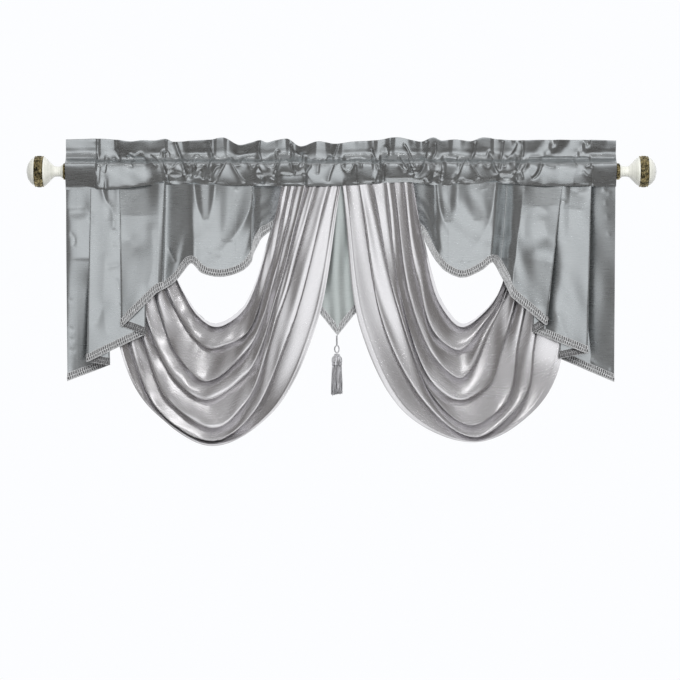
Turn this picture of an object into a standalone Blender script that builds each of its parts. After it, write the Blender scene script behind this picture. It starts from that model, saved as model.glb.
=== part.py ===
# Swag and tail drape on a curtain rod.
# Each row of the tables below is in millimetres; the meshes are made in metres.
# X runs to the right, -Y is the front, +Z is up, and the origin is the middle of the rod's axis.

import math

import bpy
import bmesh
import numpy as np

MM = 0.001
CLOTH = 2.0
BRAID = 2.6
SEAM_GAP = 0.9
BRAID_GAP = 1.1
STEEPEST = 2.0

# Rod and the hard parts at its ends
ROD_RADIUS = 17.5
ROD_LEFT = -632.8
ROD_RIGHT = 632.0
COLLAR_RADIUS = 19.1
COLLAR_NOTCH = 1.4
COLLAR_TEETH = 18
# Where a tooth's face starts and ends, in steps of half a tooth
TOOTH_SPAN = (0.35, 1.65)
PART_GAP = 0.4
LEFT_COLLAR_END = -638.3
RIGHT_COLLAR_END = 640.6
ROUND_SIDES = 24

# Half profile of a finial: distance from the collar, radius
FINIAL_PROFILE = [
    (0.0, 14.6), (0.6, 15.6), (2.6, 15.3), (4.8, 13.2), (8.0, 12.0), (15.0, 11.8),
    (20.5, 13.0), (25.5, 17.4), (30.5, 22.4), (37.0, 29.0), (42.5, 32.6), (54.8, 34.0), (65.6, 32.6),
    (71.5, 29.6), (77.0, 23.8), (81.0, 17.0), (83.6, 7.5),
]
BAND_START = 44.6
BAND_END = 64.8
BAND_INNER = 34.4
BAND_EDGE = 34.9
BAND_CROWN = 35.7

# Top edge of the header ruffle: x, z
HEADER_TOP = [
    (-632, 73), (-596, 74), (-559, 75), (-538, 74), (-515, 72), (-483, 68), (-455, 71),
    (-430, 70), (-402, 74), (-386, 68), (-375, 68), (-340, 70), (-304, 72), (-271, 77),
    (-232, 60), (-205, 66), (-186, 71), (-170, 66), (-154, 70), (-126, 75), (-92, 57),
    (-51, 69), (-14, 63), (25, 68), (80, 71), (129, 78), (184, 68), (212, 77), (232, 70),
    (262, 73), (297, 69), (327, 77), (363, 73), (393, 71), (425, 71), (460, 72), (499, 72),
    (550, 72), (632, 70),
]

# Lower seam of the rod pocket: x, z
POCKET_SEAM = [
    (-632, -40), (-560, -40), (-500, -37), (-402, -27), (-345, -29), (-300, -30),
    (-200, -31), (-60, -32), (20, -30), (94, -25), (152, -23), (230, -31), (354, -25),
    (450, -31), (632, -33),
]

# Valleys between the gathers of the heading: x, depth of the slit
GATHERS = [
    (-632, 0.3), (-559, 0.5), (-518, 0.7), (-488, 0.7), (-444, 0.9), (-400, 0.9), (-375, 1.5),
    (-336, 1.0), (-304, 0.9), (-244, 0.9), (-186, 1.5), (-152, 1.0), (-113, 0.9), (-92, 1.2),
    (-53, 0.8), (-16, 1.2), (21, 0.8), (81, 0.7), (108, 0.8), (147, 0.9), (198, 0.9),
    (221, 1.4), (241, 0.9), (274, 0.8), (304, 0.8), (343, 0.9), (368, 1.4), (398, 0.9),
    (428, 0.9), (460, 0.7), (492, 0.6), (531, 0.5), (631, 0.3),
]
GATHER_STEPS = (0.0, 0.2, 0.75)
GATHER_ROUNDNESS = 0.6

# Section of the heading above the pocket's foot, front round to the back: y, z, y moved by a gather
POCKET_OUTER = [
    (-19.8, -17.0, -6.5), (-20.6, 0.0, -8.5), (-17.4, 13.0, -8.0), (-8.6, 22.6, -4.0), (-2.4, 28.5, -1.5),
]
POCKET_BACK = [(2.0, 28.0, -0.5), (16.6, 13.6, 2.0), (20.4, 0.0, 3.0), (16.6, -17.0, 2.5)]
POCKET_INNER = [
    (-17.9, -15.6, -6.1), (-18.5, 0.0, -8.3), (-15.4, 11.6, -7.4), (-7.0, 19.4, -3.0),
    (0.0, 20.6, -0.4), (14.8, 12.2, 1.8), (18.3, 0.0, 2.8), (14.9, -16.2, 2.2),
]
# Where the pocket's front turns out of its foot: y, rise above the foot, y moved by a gather
OUTER_LIP = (-15.0, 4.5, -3.0)
INNER_LIP = (-13.0, 3.2, -2.8)
# The foot's front edge, and its back edges outside and inside: y, rise
FOOT_Y = -7.0
OUTER_HEEL = (6.0, 3.0)
INNER_HEEL = (4.4, 2.8)
HEADER_HALF = 1.5
# How far the header's top sways with a gather, the gather where it stands straight, and its middle's share
HEADER_WAVE = 10.0
HEADER_LEVEL = 0.55
HEADER_MIDDLE_SHARE = 0.6

# Folded layers of a tail, outer edge first: x at the seam, x at the hem, hem height
LEFT_EDGES = [
    (-632, -630, -482), (-536, -530, -445), (-575, -584, -437), (-448, -446, -375), (-508, -504, -357),
]
RIGHT_EDGES = [
    (631, 629, -484), (531, 499, -429), (575, 566, -418), (458, 437, -369), (508, 471, -353),
]

# Bends of the scalloped tongue after the tail's last layer: x and y at the seam, x and y at the
# hem, hem height
LEFT_BENDS = [
    (-416, -20, -421, -38, -279), (-402, -14, -409, -26, -270), (-375, -5, -377, -14, -250),
    (-352, -13, -347, -22, -214), (-340, -19, -336, -30, -216), (-315, -18, -317, -29, -235),
    (-274, -17, -274, -28, -243), (-228, -16, -230, -26, -231), (-205, -13, -207, -22, -211),
    (-200, -6, -203, -13, -193), (-190, -1, -192, -6, -171), (-177, 1, -179, -2, -150),
    (-126, 4, -122, 3, -107),
]
RIGHT_BENDS = [
    (421, -20, 389, -38, -289), (409, -14, 377, -27, -261), (386, -5, 361, -14, -228),
    (366, -13, 348, -24, -210), (357, -19, 341, -30, -212), (331, -18, 320, -29, -229),
    (285, -17, 278, -28, -245), (241, -16, 241, -26, -231), (222, -14, 226, -23, -216),
    (212, -5, 213, -13, -198), (198, 1, 200, -5, -174), (177, 3, 182, 2, -144), (131, 5, 126, 4, -107),
]
TAIL_BACK_TOP = -3.5
TAIL_BACK_HEM = -5.0
LAYER_PITCH_TOP = 4.2
LAYER_PITCH_HEM = 8.0
# How far a layer bulges at the seam and at the hem
LAYER_SWELL = (0.6, 2.0)
TAIL_BRAID = 17.0
PANEL_ROWS = 4
FLAT_STEPS = 4
TURN_STEPS = 4
BEND_STEPS = 2
HEM_SMOOTHING = 5

# Strings of the swags, neckline first: x at the outer end, then x, z where the string leaves the
# tail, half way down, at its lowest point, half way up and on its rise, then x at the inner end
LEFT_STRINGS = [
    (-462, -359, -275, -322, -328, -285, -348, -225, -308, -163, -136, -137),
    (-476, -384, -298, -336, -365, -286, -390, -221, -365, -166, -233, -120),
    (-492, -405, -337, -356, -429, -299, -464, -216, -409, -152, -229, -107),
    (-511, -435, -365, -375, -468, -304, -509, -214, -454, -147, -273, -84),
    (-529, -446, -408, -389, -516, -297, -570, -214, -519, -143, -309, -62),
    (-547, -471, -429, -409, -551, -292, -611, -200, -549, -122, -346, -32),
    (-564, -490, -452, -416, -560, -292, -626, -163, -551, -66, -348, -3),
]
RIGHT_STRINGS = [
    (414, 366, -268, 322, -325, 278, -347, 230, -291, 194, -164, 167),
    (428, 373, -274, 320, -353, 266, -394, 214, -358, 177, -227, 147),
    (442, 374, -293, 320, -392, 271, -460, 212, -413, 161, -273, 124),
    (460, 379, -365, 338, -457, 274, -514, 207, -470, 143, -296, 106),
    (478, 405, -390, 363, -528, 299, -573, 216, -519, 131, -296, 76),
    (497, 437, -411, 391, -545, 306, -604, 200, -532, 103, -323, 44),
    (518, 494, -445, 421, -560, 306, -618, 159, -553, 55, -358, 7),
]
# Depth of the same strings: y at the outer end and at each of the places above
STRING_DEPTHS = [
    (9, 4, -8, -16, -17, -11, -5), (10, 4, -15, -26, -26, -15, -6), (11, 5, -20, -33, -31, -17, -6),
    (12, 6, -22, -37, -33, -17, -7), (13, 7, -20, -36, -31, -16, -7), (14, 9, -15, -31, -27, -14, -7),
    (15, 10, -8, -22, -20, -11, -6),
]
# How far a fold stands out, and how far it hangs over as a share of its width, at the same places
FOLD_STAND = (2.6, 6.0, 10.5, 12.5, 11.5, 8.0, 3.0)
FOLD_LEAN = (0.08, 0.14, 0.20, 0.22, 0.22, 0.20, 0.10)
SWAG_ROWS = 30
SWAG_STEPS = 3

# Pennant of the jabot: x, hem height with the braid
JABOT_HEM = [(-84, -282), (-56, -317), (-8, -377), (42, -315), (69, -282)]
JABOT_BACK = 7.0
JABOT_WAVE = 1.6
JABOT_FOLDS = 3.0
JABOT_BRAID = 14.5
JABOT_STEPS = 3

# Tassel and what it hangs from
POINT_X = -9.5
POINT_Z = -377.6
CORD_RADIUS = 2.1
CORD_END = -398.0
CORD_SIDES = 8
LOOP_HALF_WIDTH = 5.0
LOOP_HALF_HEIGHT = 8.4
LOOP_CORD = 1.6
LOOP_MIDDLE = -408.5
LOOP_STEPS = 18
# Half profile of the tassel's head: z, radius
TASSEL_PROFILE = [
    (-419.0, 3.0), (-420.0, 5.6), (-423.0, 6.0), (-426.0, 9.4), (-430.0, 11.4), (-437.0, 11.8),
    (-440.0, 10.6), (-443.0, 10.4), (-445.0, 11.6),
]
# Rings of strands under the head: radius, strands
STRAND_RINGS = [(3.2, 5), (7.4, 12), (11.6, 20)]
STRAND_GAP = 0.35
SKIRT_MIDDLE = -478.0
SKIRT_END = -510.0
SKIRT_SPREAD = (1.08, 1.22)
STRAND_UNEVEN = 1.6
STRAND_TURN = 2.3


def clear_scene():
    for thing in list(bpy.data.objects):
        bpy.data.objects.remove(thing, do_unlink=True)


def material(name, colour, roughness, metallic=0.0):
    made = bpy.data.materials.new(name)
    made.use_nodes = True
    shader = made.node_tree.nodes["Principled BSDF"]
    shader.inputs["Base Color"].default_value = (*colour, 1.0)
    shader.inputs["Roughness"].default_value = roughness
    shader.inputs["Metallic"].default_value = metallic
    return made


def add_object(name, points, faces, look, smooth=True):
    mesh = bpy.data.meshes.new(name)
    mesh.from_pydata([tuple(float(value) * MM for value in point) for point in points], [], faces)
    shape = bmesh.new()
    shape.from_mesh(mesh)
    bmesh.ops.recalc_face_normals(shape, faces=shape.faces)
    shape.to_mesh(mesh)
    shape.free()
    for face in mesh.polygons:
        face.use_smooth = smooth
    mesh.materials.append(look)
    thing = bpy.data.objects.new(name, mesh)
    bpy.context.scene.collection.objects.link(thing)
    return thing


def curve(keys, values, places):
    """Smooth curve through the keys that never swings past its neighbours."""
    keys = np.asarray(keys, float)
    values = np.asarray(values, float)
    places = np.clip(np.asarray(places, float), keys[0], keys[-1])
    step = np.diff(keys)
    slope = np.diff(values) / step
    tangent = np.zeros_like(values)
    for index in range(1, len(keys) - 1):
        before, after = slope[index - 1], slope[index]
        if before * after > 0.0:
            tangent[index] = 2.0 * before * after / (before + after)
    tangent[0] = slope[0]
    tangent[-1] = slope[-1]
    part = np.clip(np.searchsorted(keys, places, side="right") - 1, 0, len(step) - 1)
    share = (places - keys[part]) / step[part]
    rise = share * share * (3.0 - 2.0 * share)
    start_pull = share * (1.0 - share) ** 2 * step[part] * tangent[part]
    end_pull = share * share * (share - 1.0) * step[part] * tangent[part + 1]
    return values[part] + (values[part + 1] - values[part]) * rise + start_pull + end_pull


def spline(rows, count):
    """Rounded path through the rows, with count steps between each pair."""
    rows = np.asarray(rows, float)
    padded = np.vstack([2 * rows[0] - rows[1], rows, 2 * rows[-1] - rows[-2]])
    path = []
    for index in range(1, len(padded) - 2):
        before, start, end, after = padded[index - 1:index + 3]
        for share in np.arange(count) / count:
            pull = end - before
            push = after - start
            blend = share * share * (3.0 - 2.0 * share)
            bow = 0.5 * (share * (1.0 - share) ** 2 * pull + share * share * (share - 1.0) * push)
            path.append(start + (end - start) * blend + bow)
    path.append(rows[-1])
    return np.array(path)


def pocket_seam(x):
    keys, heights = zip(*POCKET_SEAM)
    return curve(keys, heights, x)


def sheet(name, grid, thick, look):
    """Closed sheet of even thickness round a grid of points."""
    rows, columns, _ = grid.shape
    along = np.gradient(grid, axis=1)
    down = np.gradient(grid, axis=0)
    normal = np.cross(along, down)
    normal /= np.linalg.norm(normal, axis=2, keepdims=True)
    points = np.concatenate([
        (grid + normal * thick / 2.0).reshape(-1, 3), (grid - normal * thick / 2.0).reshape(-1, 3)])
    back = rows * columns
    faces = []
    for row in range(rows - 1):
        for column in range(columns - 1):
            a = row * columns + column
            b = a + 1
            c = b + columns
            d = a + columns
            faces.append((a, b, c, d))
            faces.append((back + d, back + c, back + b, back + a))
    rim = list(range(columns))
    rim += [row * columns + columns - 1 for row in range(1, rows)]
    rim += [(rows - 1) * columns + column for column in range(columns - 2, -1, -1)]
    rim += [row * columns for row in range(rows - 2, 0, -1)]
    for index, a in enumerate(rim):
        b = rim[(index + 1) % len(rim)]
        faces.append((b, a, back + a, back + b))
    return add_object(name, points, faces, look)


def turned(name, profile, sides, look, origin, direction):
    """Closed turned shape: the profile gives distance along the direction and radius."""
    points = []
    for distance, radius in profile:
        for side in range(sides):
            angle = math.tau * side / sides
            across, up = radius * math.cos(angle), radius * math.sin(angle)
            if direction == "down":
                points.append((origin[0] + across, origin[1] + up, distance))
            else:
                points.append((origin[0] + direction * distance, origin[1] + across, origin[2] + up))
    faces = []
    for ring in range(len(profile) - 1):
        for side in range(sides):
            after = (side + 1) % sides
            here, there = ring * sides, (ring + 1) * sides
            faces.append((here + side, here + after, there + after, there + side))
    faces.append(tuple(range(sides)))
    last = (len(profile) - 1) * sides
    faces.append(tuple(range(last, last + sides)))
    return add_object(name, points, faces, look)


def ring(name, start, end, sides, look):
    """Closed crowned band round a finial."""
    corners = [(start, BAND_INNER), (start, BAND_EDGE), ((start + end) / 2.0, BAND_CROWN)]
    corners += [(end, BAND_EDGE), (end, BAND_INNER)]
    points = []
    for side in range(sides):
        angle = math.tau * side / sides
        for x, radius in corners:
            points.append((x, radius * math.cos(angle), radius * math.sin(angle)))
    faces = []
    for side in range(sides):
        after = (side + 1) % sides
        for corner in range(len(corners)):
            beyond = (corner + 1) % len(corners)
            here, there = side * len(corners), after * len(corners)
            faces.append((here + corner, here + beyond, there + beyond, there + corner))
    return add_object(name, points, faces, look)


def collar(name, start, end, look):
    """Disc with a notched edge between the rod and a finial."""
    sides = COLLAR_TEETH * 2
    points = []
    for x in (start, end):
        for side in range(sides):
            angle = math.tau * (side // 2 * 2 + TOOTH_SPAN[side % 2]) / sides
            radius = COLLAR_RADIUS if side // 2 % 2 == 0 else COLLAR_RADIUS - COLLAR_NOTCH
            points.append((x, radius * math.cos(angle), radius * math.sin(angle)))
    faces = [tuple(range(sides)), tuple(range(sides, 2 * sides))]
    for side in range(sides):
        after = (side + 1) % sides
        faces.append((side, after, sides + after, sides + side))
    return add_object(name, points, faces, look, smooth=False)


def gather_at(x):
    """How far a gather stands out at x, and how deep the nearer slit is."""
    places = [row[0] for row in GATHERS]
    index = int(np.clip(np.searchsorted(places, x, side="right") - 1, 0, len(places) - 2))
    share = (x - places[index]) / (places[index + 1] - places[index])
    depth = GATHERS[index][1] + (GATHERS[index + 1][1] - GATHERS[index][1]) * share
    return max(math.sin(math.pi * share), 0.0) ** GATHER_ROUNDNESS, depth


def moved(rows, stands_out):
    """Rows of y and z, with each y moved by the gather."""
    return [(y + move * stands_out, z) for y, z, move in rows]


def lip(row, stands_out, foot):
    y, rise, move = row
    return [(y + move * stands_out, foot + rise)]


def heading_section(x):
    """Outer and inner loops of the heading at x, as y and z."""
    stands_out, depth = gather_at(x)
    keys, heights = zip(*HEADER_TOP)
    top = float(curve(keys, heights, x))
    foot = float(pocket_seam(x))
    wave = -HEADER_WAVE * depth * (stands_out - HEADER_LEVEL)
    half_wave = wave * HEADER_MIDDLE_SHARE
    middle = (POCKET_OUTER[-1][1] + top) / 2.0
    outer = [(FOOT_Y, foot)] + lip(OUTER_LIP, stands_out, foot) + moved(POCKET_OUTER, stands_out)
    outer += [(half_wave - HEADER_HALF, middle), (wave - HEADER_HALF, top)]
    outer += [(wave + HEADER_HALF, top), (half_wave + HEADER_HALF, middle)]
    outer += moved(POCKET_BACK, stands_out)
    outer.append((OUTER_HEEL[0], foot + OUTER_HEEL[1]))
    foot += CLOTH
    inner = [(FOOT_Y, foot)] + lip(INNER_LIP, stands_out, foot) + moved(POCKET_INNER, stands_out)
    inner.append((INNER_HEEL[0], foot + INNER_HEEL[1]))
    return outer, inner


def joined_pairs(pairs, here, inner_at):
    """Faces that join a run of the outer loop to a run of the inner loop at an end."""
    runs = zip(pairs[:-1], pairs[1:])
    return [(here + a, here + c, inner_at + d, inner_at + b) for (a, b), (c, d) in runs]


def heading(look):
    places = []
    for (start, _), (end, _) in zip(GATHERS[:-1], GATHERS[1:]):
        places += [start + (end - start) * share for share in GATHER_STEPS]
    places.append(GATHERS[-1][0])
    points = []
    for x in places:
        outer, inner = heading_section(x)
        points += [(x, y, z) for y, z in outer + inner]
    around = len(outer)
    inside = len(inner)
    per_place = around + inside
    faces = []
    for place in range(len(places) - 1):
        here = place * per_place
        there = here + per_place
        for index in range(around):
            after = (index + 1) % around
            faces.append((here + index, there + index, there + after, here + after))
        for index in range(inside):
            after = (index + 1) % inside
            near, far = here + around, there + around
            faces.append((near + index, near + after, far + after, far + index))
    neck = 1 + len(POCKET_OUTER)
    nape = neck + 5
    for here in (0, (len(places) - 1) * per_place):
        inner_at = here + around
        faces += joined_pairs([(index, index) for index in range(neck + 1)], here, inner_at)
        faces.append((here + neck, here + neck + 1, here + nape - 1, here + nape))
        faces.append((here + neck + 1, here + neck + 2, here + neck + 3, here + nape - 1))
        faces.append((here + neck, here + nape, inner_at + neck))
        back = [(nape + index, neck + index) for index in range(around - nape)] + [(0, 0)]
        faces += joined_pairs(back, here, inner_at)
    return add_object("heading", points, faces, look)


def cascade_path(edges, bends):
    """Path of a cascade across the cloth: x and y at the seam, x and y at the hem, hem height."""
    side = 1.0 if edges[1][0] > edges[0][0] else -1.0
    path = []
    pitch = np.array([LAYER_PITCH_TOP, LAYER_PITCH_HEM])
    base = np.array([TAIL_BACK_TOP, TAIL_BACK_HEM])
    last = len(edges) - 1
    for layer in range(last + 1):
        way = side if layer % 2 == 0 else -side
        depth = base - pitch * layer
        start = np.array(edges[layer], float)
        ahead = edges[layer + 1] if layer < last else (bends[0][0], bends[0][2], bends[0][4])
        goal = np.array(ahead, float)
        inset = pitch / 2.0 * way
        from_x = start[:2] + (inset if layer else 0.0)
        to_x = goal[:2] - (inset if layer < last else 0.0)
        outward = layer % 2 == 0
        steps = FLAT_STEPS if outward else FLAT_STEPS // 2
        stop = 1 if layer < last else 0
        for index in range(steps + stop):
            share = index / steps
            swell = math.sin(math.pi * share) if outward else 0.0
            x = from_x + (to_x - from_x) * share
            y = depth - np.array(LAYER_SWELL) * swell
            path.append((x[0], y[0], x[1], y[1], start[2] + (goal[2] - start[2]) * share))
        if layer < last:
            for index in range(1, TURN_STEPS):
                angle = math.pi * index / TURN_STEPS
                x = to_x + inset * math.sin(angle)
                y = depth - pitch / 2.0 * (1.0 - math.cos(angle))
                path.append((x[0], y[0], x[1], y[1], goal[2]))
    path += [tuple(row) for row in spline(bends, BEND_STEPS)]
    return np.array(path)


def hanging_panel(path, part, rows, braid):
    """Points of a panel from its seam to its braid, or of the braid from there to the hem."""
    top = pocket_seam(path[:, 0]) - SEAM_GAP
    drop = top - path[:, 4]
    across = np.hypot(np.gradient(path[:, 2]), np.gradient(path[:, 3]))
    slope = np.clip(np.gradient(path[:, 4]) / across, -STEEPEST, STEEPEST)
    window = np.ones(HEM_SMOOTHING) / HEM_SMOOTHING
    smooth = np.convolve(np.pad(slope, HEM_SMOOTHING // 2, mode="edge"), window, mode="valid")
    slant = np.sqrt(1.0 + smooth ** 2)
    braid_share = braid * slant / drop
    gap_share = BRAID_GAP * slant / drop
    start = np.zeros_like(drop) if part == "cloth" else 1.0 - braid_share
    end = 1.0 - braid_share - gap_share if part == "cloth" else np.ones_like(drop)
    grid = np.zeros((rows + 1, len(path), 3))
    for row in range(rows + 1):
        share = start + (end - start) * row / rows
        grid[row, :, 0] = path[:, 0] + (path[:, 2] - path[:, 0]) * share
        grid[row, :, 1] = path[:, 1] + (path[:, 3] - path[:, 1]) * share
        grid[row, :, 2] = top - drop * share
    return grid


def cascade(name, edges, bends, cloth_look, braid_look):
    path = cascade_path(edges, bends)
    sheet(name, hanging_panel(path, "cloth", PANEL_ROWS, TAIL_BRAID), CLOTH, cloth_look)
    sheet(name + "_trim", hanging_panel(path, "braid", 1, TAIL_BRAID), BRAID, braid_look)


def swag_grid(strings):
    """Points of a swag: rows from the neckline to the hem, columns along the strings."""
    strings = np.array(strings, float)
    keys = np.arange(len(strings))
    places = np.linspace(0.0, keys[-1], SWAG_ROWS + 1)
    across = np.column_stack([curve(keys, column, places) for column in strings.T])
    deep = np.column_stack([curve(keys, column, places) for column in np.array(STRING_DEPTHS, float).T])
    stations = deep.shape[1]
    shares = np.linspace(0.0, stations - 1, (stations - 1) * SWAG_STEPS + 1)
    grid = np.zeros((SWAG_ROWS + 1, len(shares), 3))
    for row in range(SWAG_ROWS + 1):
        ends = across[row, [0, -1]]
        high = pocket_seam(ends) - SEAM_GAP
        x = np.concatenate([ends[:1], across[row, 1:-1:2], ends[1:]])
        z = np.concatenate([high[:1], across[row, 2:-1:2], high[1:]])
        knots = np.concatenate([[0.0], np.cumsum(np.sqrt(np.hypot(np.diff(x), np.diff(z))))])
        at = np.interp(shares, np.arange(stations), knots)
        grid[row] = np.column_stack([hang(knots, values, at) for values in (x, deep[row], z)])
    stand = curve(np.arange(stations), FOLD_STAND, shares)
    lean = curve(np.arange(stations), FOLD_LEAN, shares)
    spread = np.gradient(grid, places, axis=0)
    wave = np.cos(math.tau * places)[:, None]
    level = np.clip(np.minimum(shares, shares[-1] - shares), 0.0, 1.0)
    grid[:, :, 0] += spread[:, :, 0] * lean * wave
    grid[:, :, 2] += spread[:, :, 2] * lean * wave * level
    grid[:, :, 1] -= stand * (1.0 + wave)
    return grid


def hang(knots, values, places):
    """Path through the knots with a rounded bend at each."""
    width = np.diff(knots)
    slope = np.diff(values) / width
    tangent = np.empty(len(values))
    tangent[1:-1] = (slope[:-1] * width[1:] + slope[1:] * width[:-1]) / (width[1:] + width[:-1])
    tangent[0] = slope[0]
    tangent[-1] = slope[-1]
    part = np.clip(np.searchsorted(knots, places, side="right") - 1, 0, len(slope) - 1)
    share = (places - knots[part]) / width[part]
    rise = share * share * (3.0 - 2.0 * share)
    start_pull = share * (1.0 - share) ** 2 * width[part] * tangent[part]
    end_pull = share * share * (share - 1.0) * width[part] * tangent[part + 1]
    return values[part] + (values[part + 1] - values[part]) * rise + start_pull + end_pull


def jabot_path():
    last = len(JABOT_HEM) - 1
    corners = [row[0] for row in JABOT_HEM]
    xs = np.interp(np.linspace(0, last, last * JABOT_STEPS + 1), np.arange(last + 1), corners)
    hem = np.interp(xs, *zip(*JABOT_HEM))
    depth = JABOT_BACK + JABOT_WAVE * np.cos(math.tau * JABOT_FOLDS * (xs - xs[0]) / (xs[-1] - xs[0]))
    return np.column_stack([xs, depth, xs, depth, hem])


def tassel(look):
    """Head and binding with the strands grown out of its under side."""
    shape = bmesh.new()
    sides = STRAND_RINGS[-1][1]
    rings = []
    for z, radius in TASSEL_PROFILE:
        loop = []
        for side in range(sides):
            angle = math.tau * side / sides
            loop.append(shape.verts.new((radius * math.cos(angle), radius * math.sin(angle), z)))
        rings.append(loop)
    shape.faces.new(rings[0])
    for above, below in zip(rings[:-1], rings[1:]):
        for side in range(sides):
            after = (side + 1) % sides
            shape.faces.new((above[side], below[side], below[after], above[after]))
    bottom = TASSEL_PROFILE[-1][0]
    under = []
    inner_loops = []
    for radius, count in STRAND_RINGS[:-1]:
        loop = []
        for side in range(count):
            angle = math.tau * side / count
            loop.append(shape.verts.new((radius * math.cos(angle), radius * math.sin(angle), bottom)))
        inner_loops.append(loop)
    inner_loops.append(rings[-1])
    under.append(shape.faces.new(inner_loops[0]))
    for small, large in zip(inner_loops[:-1], inner_loops[1:]):
        inner_at = 0
        for side in range(len(large)):
            after = side + 1
            inner_next = round(after * len(small) / len(large))
            corners = [large[side], large[after % len(large)], small[inner_next % len(small)]]
            if inner_next != inner_at:
                corners.append(small[inner_at % len(small)])
            under.append(shape.faces.new(corners))
            inner_at = inner_next
    bmesh.ops.recalc_face_normals(shape, faces=shape.faces)
    shape.normal_update()
    bmesh.ops.inset_individual(shape, faces=under, thickness=STRAND_GAP, use_even_offset=True)
    level = bottom
    spread_before = 1.0
    for target, spread in zip((SKIRT_MIDDLE, SKIRT_END), SKIRT_SPREAD):
        grown = bmesh.ops.extrude_discrete_faces(shape, faces=under)["faces"]
        for index, face in enumerate(grown):
            uneven = STRAND_UNEVEN * math.sin(STRAND_TURN * index) if target == SKIRT_END else 0.0
            for corner in face.verts:
                corner.co.x *= spread / spread_before
                corner.co.y *= spread / spread_before
                corner.co.z += target - level + uneven
        level = target
        spread_before = spread
        under = grown
    shape.verts.index_update()
    points = [(corner.co.x + POINT_X, corner.co.y + JABOT_BACK, corner.co.z) for corner in shape.verts]
    faces = [[corner.index for corner in face.verts] for face in shape.faces]
    shape.free()
    return add_object("tassel", points, faces, look)


def tassel_loop(look):
    points = []
    for step in range(LOOP_STEPS):
        angle = math.tau * step / LOOP_STEPS
        for side in range(CORD_SIDES):
            turn = math.tau * side / CORD_SIDES
            reach = LOOP_CORD * math.cos(turn)
            points.append((
                POINT_X + (LOOP_HALF_WIDTH + reach) * math.sin(angle),
                JABOT_BACK + LOOP_CORD * math.sin(turn),
                LOOP_MIDDLE + (LOOP_HALF_HEIGHT + reach) * math.cos(angle)))
    faces = []
    for step in range(LOOP_STEPS):
        near = step * CORD_SIDES
        far = (step + 1) % LOOP_STEPS * CORD_SIDES
        for side in range(CORD_SIDES):
            after = (side + 1) % CORD_SIDES
            faces.append((near + side, far + side, far + after, near + after))
    return add_object("tassel_loop", points, faces, look)


def build():
    clear_scene()
    taffeta = material("taffeta", (0.44, 0.46, 0.47), 0.45)
    satin = material("satin", (0.56, 0.55, 0.57), 0.35)
    pale_satin = material("pale_satin", (0.42, 0.47, 0.45), 0.42)
    gimp = material("gimp_braid", (0.36, 0.37, 0.37), 0.6)
    cord = material("tassel_yarn", (0.33, 0.33, 0.35), 0.55)
    cream = material("cream_gloss", (0.70, 0.71, 0.64), 0.25)
    bronze = material("aged_bronze", (0.22, 0.18, 0.10), 0.4, 0.8)
    pole = material("plain_pole", (0.62, 0.60, 0.54), 0.5)

    rod_profile = [(0.0, ROD_RADIUS), (ROD_RIGHT - ROD_LEFT, ROD_RADIUS)]
    turned("rod", rod_profile, ROUND_SIDES, pole, (ROD_LEFT, 0.0, 0.0), 1)
    ends = (("left", -1, LEFT_COLLAR_END, ROD_LEFT), ("right", 1, RIGHT_COLLAR_END, ROD_RIGHT))
    for side, sign, end, near in ends:
        collar(side + "_collar", near + sign * PART_GAP, end, bronze)
        start = end + sign * PART_GAP
        turned(side + "_finial", FINIAL_PROFILE, ROUND_SIDES, cream, (start, 0.0, 0.0), sign)
        band = (start + sign * BAND_START, start + sign * BAND_END)
        ring(side + "_finial_band", *band, ROUND_SIDES, bronze)

    heading(taffeta)
    cascade("left_cascade", LEFT_EDGES, LEFT_BENDS, taffeta, gimp)
    cascade("right_cascade", RIGHT_EDGES, RIGHT_BENDS, taffeta, gimp)
    sheet("left_swag", swag_grid(LEFT_STRINGS), CLOTH, satin)
    sheet("right_swag", swag_grid(RIGHT_STRINGS), CLOTH, satin)

    path = jabot_path()
    sheet("centre_jabot", hanging_panel(path, "cloth", PANEL_ROWS, JABOT_BRAID), CLOTH, pale_satin)
    sheet("jabot_trim", hanging_panel(path, "braid", 1, JABOT_BRAID), BRAID, gimp)
    cord_profile = [(POINT_Z, CORD_RADIUS), (CORD_END, CORD_RADIUS)]
    turned("tassel_cord", cord_profile, CORD_SIDES, cord, (POINT_X, JABOT_BACK), "down")
    tassel_loop(cord)
    tassel(cord)


build()
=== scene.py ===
# %% [markdown]
# Swag and tail drape on a curtain rod: the looks.
# The real one is a short window dressing of silvery cloth, gathered on a pole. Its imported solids
# are the fixed frame here. A plain solid can't show gathers and fine creases, so each soft solid
# is replaced by a thin sheet on the same folds. The tables below repeat the ones that the solids
# were made from. Lengths are in millimetres, and in metres for the camera, lights and floor.

# %% Load the frame
import math

import bpy
import numpy as np
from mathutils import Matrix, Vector


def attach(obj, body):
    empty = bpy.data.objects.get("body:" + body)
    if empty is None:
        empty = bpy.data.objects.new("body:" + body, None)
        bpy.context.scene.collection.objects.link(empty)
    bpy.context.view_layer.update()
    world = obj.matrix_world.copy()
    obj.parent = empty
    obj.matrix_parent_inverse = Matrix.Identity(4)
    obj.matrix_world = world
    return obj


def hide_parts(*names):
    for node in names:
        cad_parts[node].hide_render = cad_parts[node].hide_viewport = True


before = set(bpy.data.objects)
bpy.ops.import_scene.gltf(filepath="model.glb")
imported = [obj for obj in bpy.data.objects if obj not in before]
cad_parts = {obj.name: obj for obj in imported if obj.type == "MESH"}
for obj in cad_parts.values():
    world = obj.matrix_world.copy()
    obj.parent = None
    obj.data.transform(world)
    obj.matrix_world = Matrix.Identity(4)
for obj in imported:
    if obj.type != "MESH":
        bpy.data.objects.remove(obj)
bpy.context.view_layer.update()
MM = 0.001
print("frame loaded with", len(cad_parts), "nodes")

# %% [markdown]
# The picture is taken straight from the front, level with the middle of the drape. A near camera
# would show the finials from the inside, so a long lens stands well back. It is set up before the
# pieces, so that each one can be judged in the same view as it is made.

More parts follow.
